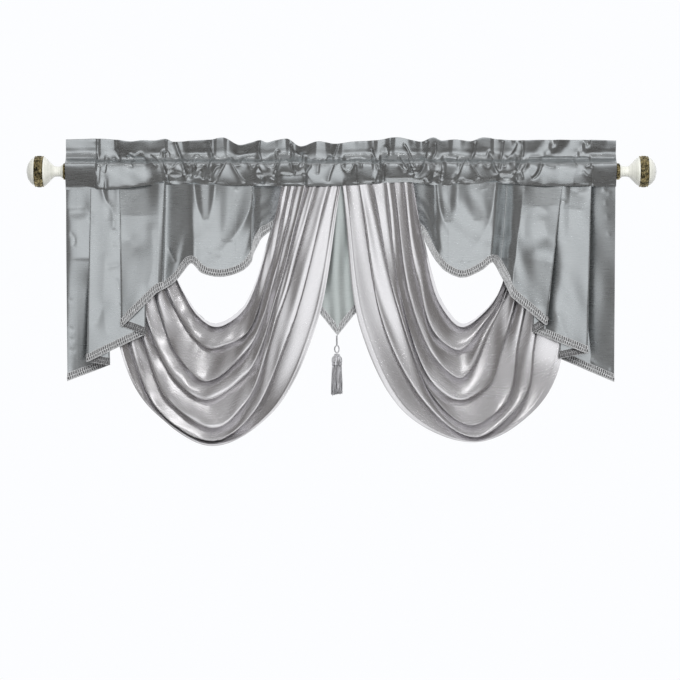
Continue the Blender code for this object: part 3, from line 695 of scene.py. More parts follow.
# %% Gathers of the heading
# Furrows and, with a minus, ridges: depth at the start and the end, half width, places x, z
HEADING_CREASES = [
    (3, 3, 2.7, [(-637, 30), (-561, 30)]),
    (2, 2, 6, [(-559, 70), (-559, 49), (-557, 33)]),
    (3.5, 2, 3.6, [(-515, 31), (-527, 26), (-538, 15), (-540, 3), (-543, -6)]),
    (2, 2.5, 4.5, [(-513, 54), (-513, 38), (-506, 26)]),
    (-2, -2, 7.5, [(-554, 8), (-557, -24)]),
    (3, 3, 3.3, [(-494, 31), (-485, 37), (-474, 30), (-453, 30), (-442, 15)]),
    (-2, -2, 3, [(-490, 36), (-483, 40), (-474, 36), (-462, 43), (-453, 40)]),
    (2, 1, 3.6, [(-483, 24), (-481, 15), (-474, 8)]),
    (-2.4, -2.4, 3, [(-437, 29), (-430, 17), (-419, 9)]),
    (3, 4, 3.6, [(-439, 38), (-428, 29), (-416, 17)]),
    (-2.5, -2.5, 2.8, [(-414, 33), (-412, 45), (-405, 49), (-398, 45), (-393, 33)]),
    (3, 3, 4.5, [(-405, 40), (-405, 33)]),
    (3, 8, 5.1, [(-412, 29), (-407, 10), (-400, -10), (-396, -29), (-396, -38)]),
    (-2.6, -2.6, 3, [(-400, 1), (-393, 6), (-384, 10), (-375, 22), (-368, 33)]),
    (-2, -2, 2.8, [(-416, 26), (-412, 24), (-405, 15), (-398, 6)]),
    (4.5, 5.5, 4.2, [(-382, 70), (-375, 49), (-368, 31), (-361, 8), (-354, -10)]),
    (5.5, 3, 4.2, [(-354, -10), (-345, -13), (-338, -1), (-336, 15)]),
    (4, 4, 6.8, [(-389, -6), (-368, -10)]),
    (-2, -2, 2.7, [(-361, 31), (-354, 20), (-347, 8)]),
    (-2, -2, 2.7, [(-352, 31), (-343, 15), (-336, 24), (-329, 8), (-310, 15)]),
    (3.5, 3, 3.6, [(-336, -15), (-329, -1), (-320, 6)]),
    (-2, -2, 2.8, [(-340, 31), (-331, 38), (-324, 33), (-315, 26)]),
    (4.5, 4, 3.9, [(-304, 72), (-301, 49), (-297, 33), (-304, 15), (-308, -1), (-317, -20)]),
    (3.5, 3.5, 3.9, [(-271, 13), (-285, 8), (-294, -6), (-301, -22)]),
    (-3, -2, 3.6, [(-258, 31), (-271, 8), (-285, -17), (-297, -29)]),
    (-3, -2, 3.6, [(-258, 31), (-246, 8), (-232, -15), (-218, -26)]),
    (3, 3, 3, [(-253, 31), (-244, 22)]),
    (-2.2, -2.2, 2.8, [(-248, 24), (-241, 13), (-232, 15), (-223, 29), (-214, 22), (-207, 8),
        (-198, 8), (-191, 24)]),
    (-1.6, -1.6, 2.8, [(-221, 31), (-207, 34), (-191, 31)]),
    (4.5, 4, 3.6, [(-186, 75), (-189, 45), (-182, 22)]),
    (4, 8, 6.8, [(-193, 17), (-186, -6), (-177, -33)]),
    (-2.6, -2.2, 3, [(-179, 26), (-172, 13), (-161, 6), (-152, 10), (-147, 26), (-150, 43),
        (-145, 49), (-140, 43)]),
    (4, 7, 4.5, [(-138, 31), (-147, 8), (-154, -20)]),
    (3.5, 4.5, 9, [(-143, -6), (-122, -10), (-94, -8), (-83, -1)]),
    (4, 4.5, 3.6, [(-115, 63), (-110, 38), (-115, 22), (-110, 3), (-103, -6)]),
    (-2, -2, 2.8, [(-133, 29), (-122, 24), (-117, 13)]),
    (-2, -2, 2.8, [(-108, 26), (-101, 13), (-94, 20), (-85, 6), (-76, 15), (-64, 20)]),
    (3, 3, 3, [(-90, 40), (-90, 8)]),
    (4.5, 4, 3.9, [(-67, 15), (-80, -3), (-83, -33)]),
    (2.5, 2.5, 3, [(-83, 31), (-69, 26), (-53, 29)]),
    (3, 2.5, 5.1, [(-44, 29), (-51, 15), (-53, -10)]),
    (3, 2.5, 5.1, [(-16, 17), (-25, -6), (-30, -26)]),
    (3, 3, 3.3, [(-37, 20), (-28, 31), (-14, 32)]),
    (4, 3, 4.5, [(-5, 70), (-12, 49), (-18, 33)]),
    (2.6, 2.6, 2.8, [(-7, 31), (12, 26), (25, 29), (44, 30), (62, 26)]),
    (-2.2, -2.2, 2.8, [(-12, 15), (0, 17), (7, 3), (21, 1), (30, 17), (37, 24), (46, 17), (48, 6)]),
    (2.5, 2.5, 5.1, [(34, 17), (34, -8), (37, -33)]),
    (3, 3.5, 3.9, [(69, 54), (76, 33), (83, 17)]),
    (-2.4, -2.4, 3, [(76, 20), (87, 5), (94, 13), (99, 29)]),
    (-2, -2, 9, [(85, 3), (76, -24)]),
    (4, 4.5, 6.6, [(99, 20), (98, -3), (97, -26)]),
    (3, 2.5, 4.5, [(103, 63), (108, 45), (106, 31)]),
    (-2.2, -2.2, 2.8, [(131, 17), (138, 8), (146, 1), (152, 6), (143, 22), (136, 31)]),
    (3.5, 3.5, 3.3, [(131, 36), (140, 20), (147, 8)]),
    (-2.6, -2.6, 3.3, [(143, 66), (154, 49), (163, 26), (172, 3)]),
    (-2, -2, 2.7, [(154, 31), (161, 13), (168, 3)]),
    (4, 6, 3.9, [(152, 31), (159, 10), (166, -6)]),
    (5, 5, 4.5, [(166, -6), (177, -8), (189, 8), (193, 26)]),
    (4.5, 4, 4.5, [(198, 70), (195, 49), (193, 26)]),
    (-2.2, -2.2, 3, [(175, 13), (184, 15), (191, 29)]),
    (-3.4, -3.4, 12, [(201, 1), (201, -10)]),
    (3, 3, 3, [(191, -15), (198, -26), (209, -24), (214, -1)]),
    (-3, -2.4, 3.6, [(212, 15), (218, 22), (228, 20), (229, -1), (223, -29)]),
    (4, 4.5, 6, [(237, 24), (237, 3), (232, -22)]),
    (4, 3, 3.3, [(216, 66), (218, 47), (212, 33), (205, 20)]),
    (2.6, 2.6, 3, [(232, 31), (251, 31), (276, 26)]),
    (-3, -2, 3.3, [(288, 32), (278, 15), (269, -8), (258, -29)]),
    (-2, -1.6, 2.8, [(269, -3), (253, -24)]),
    (-2.6, -2, 3.3, [(288, 32), (299, 15), (310, -3), (320, -17)]),
    (-1.6, -1.6, 3, [(264, -29), (276, -18), (288, -22), (308, -24)]),
    (4, 4, 4.8, [(310, 70), (306, 45), (299, 26), (301, 13)]),
    (-2.2, -2.2, 2.8, [(301, 15), (310, 17), (320, 24), (329, 13), (338, 8), (345, 20)]),
    (-2.2, -2.2, 2.8, [(334, 31), (338, 45), (345, 47), (352, 40)]),
    (4, 6, 3.9, [(340, 38), (347, 26), (352, 10), (361, -6)]),
    (6, 5, 5.1, [(361, -8), (375, -13), (391, -13), (400, 1)]),
    (5, 4, 3.6, [(400, 1), (409, 15), (416, 31)]),
    (4, 4, 4.2, [(416, 72), (419, 49), (416, 31)]),
    (3.5, 4, 3.6, [(373, 72), (370, 45), (366, 20), (363, 1)]),
    (-2, -2, 4.5, [(405, 68), (396, 47), (379, 31)]),
    (-2.2, -2.2, 2.8, [(366, 22), (375, 10), (382, 22), (393, 20), (402, 31), (412, 36)]),
    (-2.4, -2, 3.3, [(405, -3), (400, -15), (407, -31)]),
    (-2, -2, 2.7, [(412, 1), (419, -20)]),
    (3, 3, 2.8, [(412, -1), (421, 8), (428, 20)]),
    (3.5, 3, 4.8, [(460, 24), (458, 8), (451, -8), (437, -20)]),
    (-2.4, -2, 3.3, [(453, 13), (446, -6), (435, -15)]),
    (-1.6, -1.6, 3, [(462, 17), (476, 10), (494, 8)]),
    (2.4, 2.4, 2.7, [(529, 29), (536, 20), (543, 8)]),
    (-2, -2, 5.1, [(554, 3), (561, -8), (573, -15)]),
    (3, 3, 4.5, [(574, 13), (577, -15), (577, -36)]),
    (3, 3, 2.7, [(428, 31), (538, 31), (632, 30)]),
    (-1.8, -1.8, 3, [(550, 17), (559, 15), (564, 10), (570, 17)]),
]

# %% Lean of the ruffle and slope of the pocket
# How far the header's top leans forward, as a negative number: x, y
HEADER_LEAN = [
    (-642, -4), (-564, -4), (-559, -1), (-552, -4), (-522, -4), (-511, -11), (-485, -14), (-460, -10.5),
    (-439, -10), (-421, -12.5), (-405, -11), (-398, -4), (-382, -2.5), (-366, -4), (-347, -12),
    (-308, -12.5), (-294, -4), (-285, -9.5), (-271, -9), (-260, -4), (-248, -7.5), (-237, -12.5),
    (-193, -11), (-179, -8), (-156, -7.5), (-143, -4.5), (-129, -2.5), (-117, -7.5), (-106, -5),
    (-94, -10), (-78, -12.5), (-64, -9), (-55, -4), (-37, -5), (-23, -11), (-7, -10), (5, -4), (28, -4),
    (44, -6), (57, -5), (74, -9), (85, -4), (101, -5), (113, -10), (126, -4), (152, -5), (168, -9),
    (184, -4), (193, -9), (207, -12.5), (230, -11), (246, -10), (258, -5), (271, -4), (288, -9),
    (306, -11), (322, -12.5), (343, -11), (352, -5), (361, -6), (373, -10), (389, -9), (402, -5),
    (419, -10), (435, -7.5), (448, -4), (465, -5), (476, -12.5), (494, -7.5), (506, -4), (534, -5),
    (543, -4), (552, -12.5), (577, -11), (600, -9), (642, -9),
]
# How far the pocket's face slopes back towards its foot: x, y
POCKET_TUCK = [
    (-642, 8), (-564, 8), (-558, 0), (-545, 0), (-540, 2), (-531, 0), (-451, 0), (-439, 3), (-428, 6),
    (-405, 6), (-393, 8), (-313, 6), (-297, 8), (-288, 4), (-274, 2), (-237, 3), (-218, 6), (-191, 8),
    (-150, 8), (-85, 8), (-76, 1), (-57, 0), (2, 0), (12, 5), (25, 6), (69, 6), (78, 0), (87, 0), (94, 9),
    (103, 9), (113, 7), (163, 7), (172, 9), (191, 6), (214, 8), (221, 2), (230, 4), (237, 9), (246, 7),
    (264, 6), (271, 3), (288, 4), (301, 6), (320, 5), (356, 6), (366, 9), (398, 9), (407, 0), (421, 0),
    (435, 3), (453, 3), (465, 0), (494, 1), (504, 0), (531, 0), (538, 2), (554, 2), (568, 3), (576, 8),
    (637, 8),
]

# %% Section of the heading
# Places where the panels below fold back and the pocket's foot goes in with them: x, half width
RECESSES = [(-379, 17.0), (-176, 20.0), (219, 14.0), (377, 16.0)]
RECESS_BACK = 8.0
RECESS_FRONT = 9.0
RECESS_FADES = (6.0, -24.0)
UPPER_SEAM = 30.0
POCKET_FOOT = -17.2
POCKET_LIP = 2.4
BACK_LIFT = 0.3
BACK_BEHIND = 1.0
FOOT_TUCK = 0.8
TUCK_MIDDLE = -8.0
TUCK_REACH = 28.0
HEADER_HALF = 1.3
HEADER_SHARES = (0.25, 0.6, 0.97)
HEADER_BEND = 0.8
# Rows of the folded strip, from the foot of the back over the header: y, z. The first and the last
# z are measured down from the lower seam, so a minus is above it
BACK_SECTION = [(6.0, -3.0), (17.6, -17.0), (21.6, 0.0), (17.4, 13.6), (2.2, 27.5)]
FRONT_SECTION = [(-3.4, 28.0), (-9.5, 24.0), (-17.2, 18.4), (-20.2, 13.0), (-20.9, 0.0),
                 (-20.3, -14.0), (-18.9, -5.0)]
HEADING_ENDS = (-632.3, 631.6)
HEADING_COLUMNS = 900
BACK_STEPS = 2
FRONT_STEPS = 8
# The slanting folds at the right end: how far they slant, and between which places
SLANT = 34.0
SLANT_STARTS = (400.0, 470.0)
SLANT_ENDS = (640.0, 600.0)
SLANT_PIVOT = 0.3


def pocket_seam(x):
    return curve(*zip(*POCKET_SEAM), x)


def recess(x):
    return sum(np.exp(-((x - place) / wide) ** 2) for place, wide in RECESSES)


def header_lean(x, share):
    """How far forward the header leans at a share of its height; on the right its folds slant."""
    slant = SLANT * smooth_step(*SLANT_STARTS, x) * smooth_step(*SLANT_ENDS, x)
    return curve(*zip(*HEADER_LEAN), x - slant * (share - SLANT_PIVOT)) * share ** HEADER_BEND


def header_row(x, top, share, half):
    """A row of the header at a share of its height, in its back or, with a minus, its front."""
    return x, header_lean(x, share) + HEADER_HALF * half, UPPER_SEAM + (top - UPPER_SEAM) * share


def heading_grid():
    """The folded strip before its gathers, and how many of its rows are behind the top edge."""
    x = np.linspace(*HEADING_ENDS, HEADING_COLUMNS)
    seam = pocket_seam(x)
    top = curve(*zip(*HEADER_TOP), x)
    back_in = recess(x)
    tuck = curve(*zip(*POCKET_TUCK), x) * (1.0 - back_in)
    foot = POCKET_FOOT + RECESS_BACK * back_in + FOOT_TUCK * tuck
    rows = [(x, foot + BACK_BEHIND, seam + BACK_LIFT)]
    for index, (y, z) in enumerate(BACK_SECTION):
        rows.append((x, np.full_like(x, y), seam - z if index == 0 else np.full_like(x, z)))
    rows += [header_row(x, top, share, 1.0) for share in HEADER_SHARES]
    rows.append(header_row(x, top, 1.0, 0.0))
    back = len(rows) - 1
    rows += [header_row(x, top, share, -1.0) for share in reversed(HEADER_SHARES)]
    for index, (y, z) in enumerate(FRONT_SECTION):
        level = seam - z if index == len(FRONT_SECTION) - 1 else np.full_like(x, z)
        set_back = RECESS_FRONT * back_in * smooth_step(*RECESS_FADES, level)
        slope = np.clip((TUCK_MIDDLE - level) / TUCK_REACH, -1.0, 1.0)
        rows.append((x, y + set_back + tuck * slope, level))
    rows.append((x, foot, seam - POCKET_LIP))
    keys = np.array([np.column_stack(row) for row in rows])
    behind = spline(keys, BACK_STEPS)[:back * BACK_STEPS]
    ahead = spline(keys, FRONT_STEPS)[back * FRONT_STEPS:]
    return np.concatenate([behind, ahead]), len(behind)


plain_heading, header_edge = heading_grid()
print("plain heading", plain_heading.shape)

# %% [markdown]
# A crease is a furrow or a ridge along a drawn line. A sculpting brush would do the same by
# hand, but not the same on each run. Here each point of the cloth finds its nearest place on the
# line, and moves by a bell-shaped amount that fades away from the line and towards its ends.

# %% Creases
CREASE_STEPS = 5
CREASE_REACH = 2.6
MIDDLE_BLEND = 0.4
LONG_CREASE = 3.0
TAPER = 7.0
END_DEPTH = 0.15


def nearest_on(path, places):
    """Distance from a path, share of the way along it, and how far to its left, at each place."""
    closest = np.full(len(places), np.inf)
    share = np.zeros(len(places))
    left = np.zeros(len(places))
    for index in range(len(path) - 1):
        leg = path[index + 1] - path[index]
        off = places - path[index]
        along = np.clip(off @ leg / (leg @ leg), 0.0, 1.0)
        away = np.linalg.norm(off - along[:, None] * leg, axis=1)
        better = away < closest
        closest[better] = away[better]
        share[better] = (index + along[better]) / (len(path) - 1)
        left[better] = ((leg[0] * off[:, 1] - leg[1] * off[:, 0]) / np.linalg.norm(leg))[better]
    return closest, share, left


def creases(x, z, table, power, fade, steep=1.0, gentle=1.0):
    """Depth of listed furrows and ridges at each place.

    A power near 1 is sharp, 2 is round and 3 is flat at the bottom. Fade is the number of half
    widths that an end takes to run out. Steep and gentle scale the width left and right of a line.
    """
    total = np.zeros(x.shape)
    for start, end, start_width, end_width, places in table:
        path = spline(places, CREASE_STEPS)
        wide = max(start_width, end_width) * gentle
        low = path.min(axis=0) - wide * CREASE_REACH
        high = path.max(axis=0) + wide * CREASE_REACH
        near = (x > low[0]) & (x < high[0]) & (z > low[1]) & (z < high[1])
        closest, share, left = nearest_on(path, np.column_stack([x[near], z[near]]))
        width = start_width + (end_width - start_width) * share
        width = width * (gentle + (steep - gentle) * smooth_step(-MIDDLE_BLEND, MIDDLE_BLEND, left / width))
        length = np.linalg.norm(np.diff(path, axis=0), axis=1).sum()
        depth = start + (end - start) * share
        if length > LONG_CREASE * wide:
            taper = max(TAPER, fade * wide)
            depth = depth * smooth_step(-END_DEPTH, 1.0, np.minimum(share, 1.0 - share) * length / taper)
        total[near] += depth * np.exp(-(closest / width) ** power)
    return total


print("creases of", len(HEADING_CREASES), "lines for the heading")

# %% Lay the gathers
GATHER_DEPTHS = (-4.0, 9.0)
CRUMPLE = 0.35
CRUMPLE_WIDTH = 42.0
CRUMPLE_HEIGHT = 52.0
HEADER_STARTS = (UPPER_SEAM - 3.0, UPPER_SEAM + 2.0)
HELD_BY_SEAM = 5.0
LEAST_MOVE = 0.3
ROD_CLEAR = 18.3


def gathered(grid, back):
    """Lays the gathers on the front, and on both layers of the header; nothing goes into the pole."""
    x, y, z = grid[:, :, 0], grid[:, :, 1], grid[:, :, 2]
    table = [(start, end, width, width, places) for start, end, width, places in HEADING_CREASES]
    depth = np.clip(creases(x, z, table, power=1.3, fade=1.0, steep=0.5, gentle=1.5), *GATHER_DEPTHS)
    depth += CRUMPLE * ripples(x / CRUMPLE_WIDTH, z / CRUMPLE_HEIGHT, seed=23, waves=5, slant=0.8)
    held = smooth_step(0.0, HELD_BY_SEAM, z - pocket_seam(x[0])[None, :])
    front = np.arange(len(grid))[:, None] >= back
    header = smooth_step(*HEADER_STARTS, z)
    y = y + depth * np.where(front, np.maximum(held, LEAST_MOVE), header)
    inside = front & (np.hypot(y, z) < ROD_CLEAR)
    y = np.where(inside, -np.sqrt(np.maximum(ROD_CLEAR ** 2 - z ** 2, 0.0)), y)
    return np.stack([x, y, z], axis=-1)


def heading():
    grid = gathered(plain_heading, header_edge)
    piece = sheet_piece("heading_gathered", grid, cloth_looks["taffeta"])
    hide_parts("heading")
    print("heading", grid.shape)


heading()


# %% [markdown]
# Each cascade is one cloth that folds to and fro for the tail, three lobes deep, and then waves
# through the scallop beside the swag. A simulation would need the sewer's pins to fold so neatly.
# So one path is drawn across the cloth, at the seam and at the hem, and every point of it hangs
# straight between the two. It costs nothing, and each lobe ends where the real one does.

# %% Course of the cascades
# Lobe edges are x at the seam, x at the hem, z at the hem; bends are x, y at the seam, x, y, z at the hem
LEFT_EDGES = [
    (-632, -630, -482), (-536, -530, -445), (-575, -584, -437), (-448, -446, -375), (-508, -504, -357),
]
RIGHT_EDGES = [
    (631, 629, -484), (531, 499, -429), (575, 566, -418), (458, 437, -369), (508, 471, -353),
]
LEFT_BENDS = [
    (-416, -20, -421, -38, -279), (-404, -18, -410, -33, -273), (-402, -12, -408, -25, -271),
    (-407, -5, -412, -15, -272), (-398, -1, -402, -11, -268), (-375, -7, -377, -16, -250),
    (-352, -14, -347, -24, -214), (-340, -19, -336, -30, -216), (-315, -18, -317, -29, -235),
    (-274, -17, -274, -28, -243), (-228, -16, -230, -26, -231), (-205, -13, -207, -22, -211),
    (-200, -6, -203, -13, -193), (-190, -1, -192, -6, -171), (-177, 1, -179, -2, -150),
    (-126, 4, -122, 3, -107),
]
RIGHT_BENDS = [
    (421, -20, 389, -38, -289), (409, -14, 377, -27, -261), (386, -5, 361, -14, -228),
    (366, -13, 348, -24, -210), (357, -19, 341, -30, -212), (331, -18, 320, -29, -229),
    (285, -17, 278, -28, -245), (241, -16, 241, -26, -231), (222, -14, 226, -23, -216),
    (212, -5, 213, -13, -198), (198, 1, 200, -5, -174), (177, 3, 182, 2, -144), (131, 5, 126, 4, -107),
]
TAIL_BACK = (-3.5, -5.0)
LAYER_PITCH = (4.2, 8.0)
LAYER_SWELL = 2.0
SWELL_SHARES = (0.3, 1.0)
DROP_WEIGHT = 0.15
SMOOTHING = 3


def cascade_path(edges, bends, flat_steps, turn_steps, bend_steps):
    """Rows of x, y at the seam, x, y, z at the hem, and the layer of the cloth."""
    side = 1.0 if edges[1][0] > edges[0][0] else -1.0
    path = []
    pitch = np.array(LAYER_PITCH)
    last = len(edges) - 1
    for layer in range(last + 1):
        outer = layer % 2 == 0
        way = side if outer else -side
        depth = np.array(TAIL_BACK) - pitch * layer
        start = np.array(edges[layer], float)
        ahead = edges[layer + 1] if layer < last else (bends[0][0], bends[0][2], bends[0][4])
        goal = np.array(ahead, float)
        inset = pitch / 2.0 * way
        from_x = start[:2] + (inset if layer else 0.0)
        to_x = goal[:2] - (inset if layer < last else 0.0)
        steps = flat_steps if outer else flat_steps // 2
        for index in range(steps + (1 if layer < last else 0)):
            share = index / steps
            swell = LAYER_SWELL * math.sin(math.pi * share) if outer else 0.0
            x = from_x + (to_x - from_x) * share
            y = depth - np.array(SWELL_SHARES) * swell
            path.append((x[0], y[0], x[1], y[1], start[2] + (goal[2] - start[2]) * share, layer))
        if layer < last:
            for index in range(1, turn_steps):
                angle = math.pi * index / turn_steps
                x = to_x + inset * math.sin(angle)
                y = depth - pitch / 2.0 * (1.0 - math.cos(angle))
                path.append((x[0], y[0], x[1], y[1], goal[2], layer + index / turn_steps))
    path += [(*row, last) for row in spline(bends, bend_steps)]
    return np.array(path)


def even_path(path, count):
    """The same path with its points at even steps along the hem, smoothed a little."""
    level_steps = (np.diff(path[:, [2, 3]], axis=0) ** 2).sum(axis=1)
    steps = np.sqrt(level_steps + DROP_WEIGHT * np.diff(path[:, 4]) ** 2)
    length = np.concatenate([[0.0], np.cumsum(steps)])
    at = np.linspace(0.0, length[-1], count)
    fine = np.column_stack([np.interp(at, length, column) for column in path.T])
    weights = np.hanning(2 * SMOOTHING + 3)[1:-1]
    weights /= weights.sum()
    for column in range(fine.shape[1]):
        wide = np.pad(fine[:, column], SMOOTHING, mode="reflect", reflect_type="odd")
        fine[:, column] = np.convolve(wide, weights, mode="valid")
    return fine


print("cascade paths with", len(LEFT_BENDS), "and", len(RIGHT_BENDS), "bends")

# %% Hang a cloth from its path
SEAM_GAP = 0.9
STEEPEST = 2.0
SLOPE_SHARE = 60


def hanging(path, rows, braid, strip=False):
    """Grid that hangs from the path: the cloth above its braid, or the strip that the braid covers."""
    top = pocket_seam(path[:, 0]) - SEAM_GAP
    drop = top - path[:, 4]
    across = np.hypot(np.gradient(path[:, 2]), np.gradient(path[:, 3]))
    slope = np.clip(np.gradient(path[:, 4]) / np.maximum(across, SHORTEST), -STEEPEST, STEEPEST)
    reach = max(3, 2 * (len(path) // SLOPE_SHARE) + 1)
    weights = np.ones(reach) / reach
    slope = np.convolve(np.pad(slope, reach // 2, mode="edge"), weights, mode="valid")
    braid_top = 1.0 - braid * np.sqrt(1.0 + slope ** 2) / drop
    start, end = (braid_top, np.ones_like(drop)) if strip else (np.zeros_like(drop), braid_top)
    grid = np.zeros((rows + 1, len(path), 3))
    for row in range(rows + 1):
        share = start + (end - start) * row / rows
        grid[row, :, 0] = path[:, 0] + (path[:, 2] - path[:, 0]) * share
        grid[row, :, 1] = path[:, 1] + (path[:, 3] - path[:, 1]) * share
        grid[row, :, 2] = top - drop * share
    return grid


def outward(strip):
    """Normals of a strip, kept on the cloth's face all the way round its folds."""
    normal = normals(strip)[0]
    return -normal if normal[0, 1] > 0.0 else normal


print("hanging and outward")

# %% [markdown]
# Gimp braid is sewn along the hem: a tape with cords along it and two rows of loops that overlap.
# The tape is coloured near black as painted shade between the loops and cords and along the edges.
# From afar a striped texture would do, but its edge would be dead straight. So the loops are one thin
# tube that curls as it goes along, laid on the tape in the tape's own directions.

# %% Gimp braid
TAPE_ROWS = 4
LOOP_PITCH = 5.4
LOOP_STEPS = 12
LOOP_REACH = 2.0
LOOP_WIDTH = 3.4
LOOP_LIFT = 0.35
LOOP_RADIUS = 0.85
# Share across the braid, and where in its turn the row of loops starts
LOOP_LINES = ((0.3, 0.0), (0.7, math.pi))
CORD_LINES = (0.03, 0.5, 0.97)
CORD_STEP = 2.0
CORD_BEAT = 4.0
CORD_HEIGHT = 0.75
CORD_SWELL = 0.25
BRAID_CORD_RADIUS = 0.9


def braid_on(name, top_line, hem_line, out, node, width):
    """Gimp braid: a flat tape, a cord along each edge and the middle, and two rows of loops."""
    tape_rows = np.linspace(0.0, 1.0, TAPE_ROWS)[:, None, None]
    tape = top_line[None] + (hem_line - top_line)[None] * tape_rows
    # The tape is coloured near black as painted shade, which shows between the loops and cords
    shade_tape_piece = sheet_piece(name + "_tape", tape, hard_looks["gimp_shade_ground"])
    middle = (top_line + hem_line) / 2.0
    length = np.concatenate([[0.0], np.cumsum(np.linalg.norm(np.diff(middle, axis=0), axis=1))])
    total = length[-1]

    def on_braid(along, across, height):
        """Place on the braid: mm along it, share across it, mm off its face."""
        rows = [np.interp(along, length, column) for column in np.hstack([top_line, hem_line, out]).T]
        top, hem, off = np.column_stack(rows[:3]), np.column_stack(rows[3:6]), np.column_stack(rows[6:])
        return top + (hem - top) * across[:, None] + off * height[:, None]

    parts = []
    loops = int(total / LOOP_PITCH)
    for across, phase in LOOP_LINES:
        turn = np.linspace(0.0, math.tau * loops, loops * LOOP_STEPS + 1)
        along = total * turn / turn[-1] + LOOP_REACH * np.sin(turn + phase)
        side = across + LOOP_WIDTH / width * np.cos(turn + phase)
        height = 1.0 + LOOP_LIFT * np.sin(turn + phase)
        parts.append(tube(on_braid(np.clip(along, 0.0, total), side, height), LOOP_RADIUS, sides=5))
    for across in CORD_LINES:
        along = np.linspace(0.0, total, int(total / CORD_STEP))
        height = CORD_HEIGHT + CORD_SWELL * np.sin(along * math.tau / CORD_BEAT)
        line = on_braid(along, np.full_like(along, across), height)
        parts.append(tube(line, BRAID_CORD_RADIUS, sides=6))
    loops_piece = add_piece(name + "_loops", *joined(parts), hard_looks["gimp_braid"])
    for piece in (shade_tape_piece, loops_piece):
        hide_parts(node)
    print(name, round(total), "mm long with", 2 * loops, "loops")


def hem_braid(name, path, grid, node, width):
    """Braid under the last row of a hanging cloth, moved with that row's creases."""
    strip = hanging(path, 2, width, strip=True)
    shift = grid[-1] - strip[0]
    shift[:, 2] = 0.0
    braid_on(name, strip[0] + shift, strip[-1] + shift, outward(strip), node, width)


# %% [markdown]
# The folds alone would look ironed. Handled taffeta has soft hollows across each lobe and small
# sharp crumples near the folds, and these are listed as the gathers were. A crease of a front
# lobe also moves the layers behind it, so that no layer comes through another.

# %% Creases and hollows of the cascades
# Lobe from the outer edge, depth at the start and end, half width at the start and end, places x, z
LEFT_CREASES = [
    (1, 7, 7, 12, 12, [(-639, 3), (-639, -480)]),
    (1, 8, 30, 50, 50, [(-557, -199), (-561, -526)]),
    (1, -0.6, -0.6, 4, 4, [(-630, -91), (-582, -89)]),
    (1, 1.2, 1.2, 5, 5, [(-623, -139), (-612, -155), (-614, -174)]),
    (1, 0.8, 0.8, 4, 4, [(-628, -296), (-614, -298)]),
    (1, 0.8, 0.8, 4, 4, [(-628, -358), (-612, -367)]),
    (1, 0.8, 0.8, 4, 4, [(-626, -383), (-612, -390)]),
    (1, 0.8, 0.8, 4, 4, [(-628, -408), (-610, -415)]),
    (2, -2.6, -1.4, 7, 7, [(-554, -20), (-540, -66), (-524, -91), (-522, -139)]),
    (2, 0.5, 0.5, 3.9, 3.9, [(-582, -93), (-566, -107)]),
    (2, 0.5, 0.5, 3.9, 3.9, [(-584, -105), (-568, -121)]),
    (2, 0.6, 0.6, 4, 4, [(-524, -132), (-511, -144)]),
    (2, 0.6, 0.6, 4, 4, [(-527, -162), (-513, -174)]),
    (2, 0.9, 0.9, 6, 6, [(-540, -222), (-504, -213)]),
    (2, 0.9, 0.9, 5, 5, [(-515, -245), (-508, -277), (-506, -309)]),
    (2, 1.6, 1.6, 14, 14, [(-559, -346), (-545, -309)]),
    (2, -1, -1, 14, 14, [(-540, -181), (-545, -296), (-536, -388)]),
    (3, 3, 3, 24, 24, [(-483, -158), (-471, -171)]),
    (3, -1, -1, 12, 12, [(-435, -116), (-430, -208), (-444, -273)]),
    (3, 0.5, 0.5, 3.5, 3.5, [(-478, -56), (-458, -49)]),
    (3, 0.9, 0.9, 4, 4, [(-398, -174), (-379, -210)]),
    (3, -2, -0.2, 6, 8, [(-338, -20), (-331, -77), (-317, -112), (-306, -153)]),
    (3, -2, -0.2, 6, 8, [(-288, -24), (-294, -77), (-310, -125)]),
    (3, -2.4, -0.2, 5.5, 10, [(-193, -15), (-205, -77), (-225, -121), (-258, -164), (-285, -194)]),
    (3, 0.4, 0.4, 4, 4, [(-310, -176), (-297, -190)]),
    (3, 0.4, 0.4, 4, 4, [(-288, -187), (-274, -197)]),
    (3, -0.5, -0.5, 4, 4, [(-248, -40), (-232, -45)]),
    (3, 19, 19, 42, 42, [(-126, 49), (-133, -250)]),
]
# Broader flat-bottomed hollows, in the same columns
LEFT_HOLLOWS = [
    (1, 1, 10, 40, 40, [(-584, -199), (-584, -526)]),
    (1, 0.2, 4, 26, 26, [(-605, -10), (-605, -79)]),
    (2, 5, 0.3, 14, 12, [(-529, -10), (-527, -116)]),
    (3, 13, 0.3, 44, 42, [(-469, -6), (-467, -102)]),
    (3, 6, 0.5, 20, 8, [(-313, -15), (-310, -112)]),
    (3, 9, 0.5, 38, 14, [(-237, -6), (-260, -164)]),
]
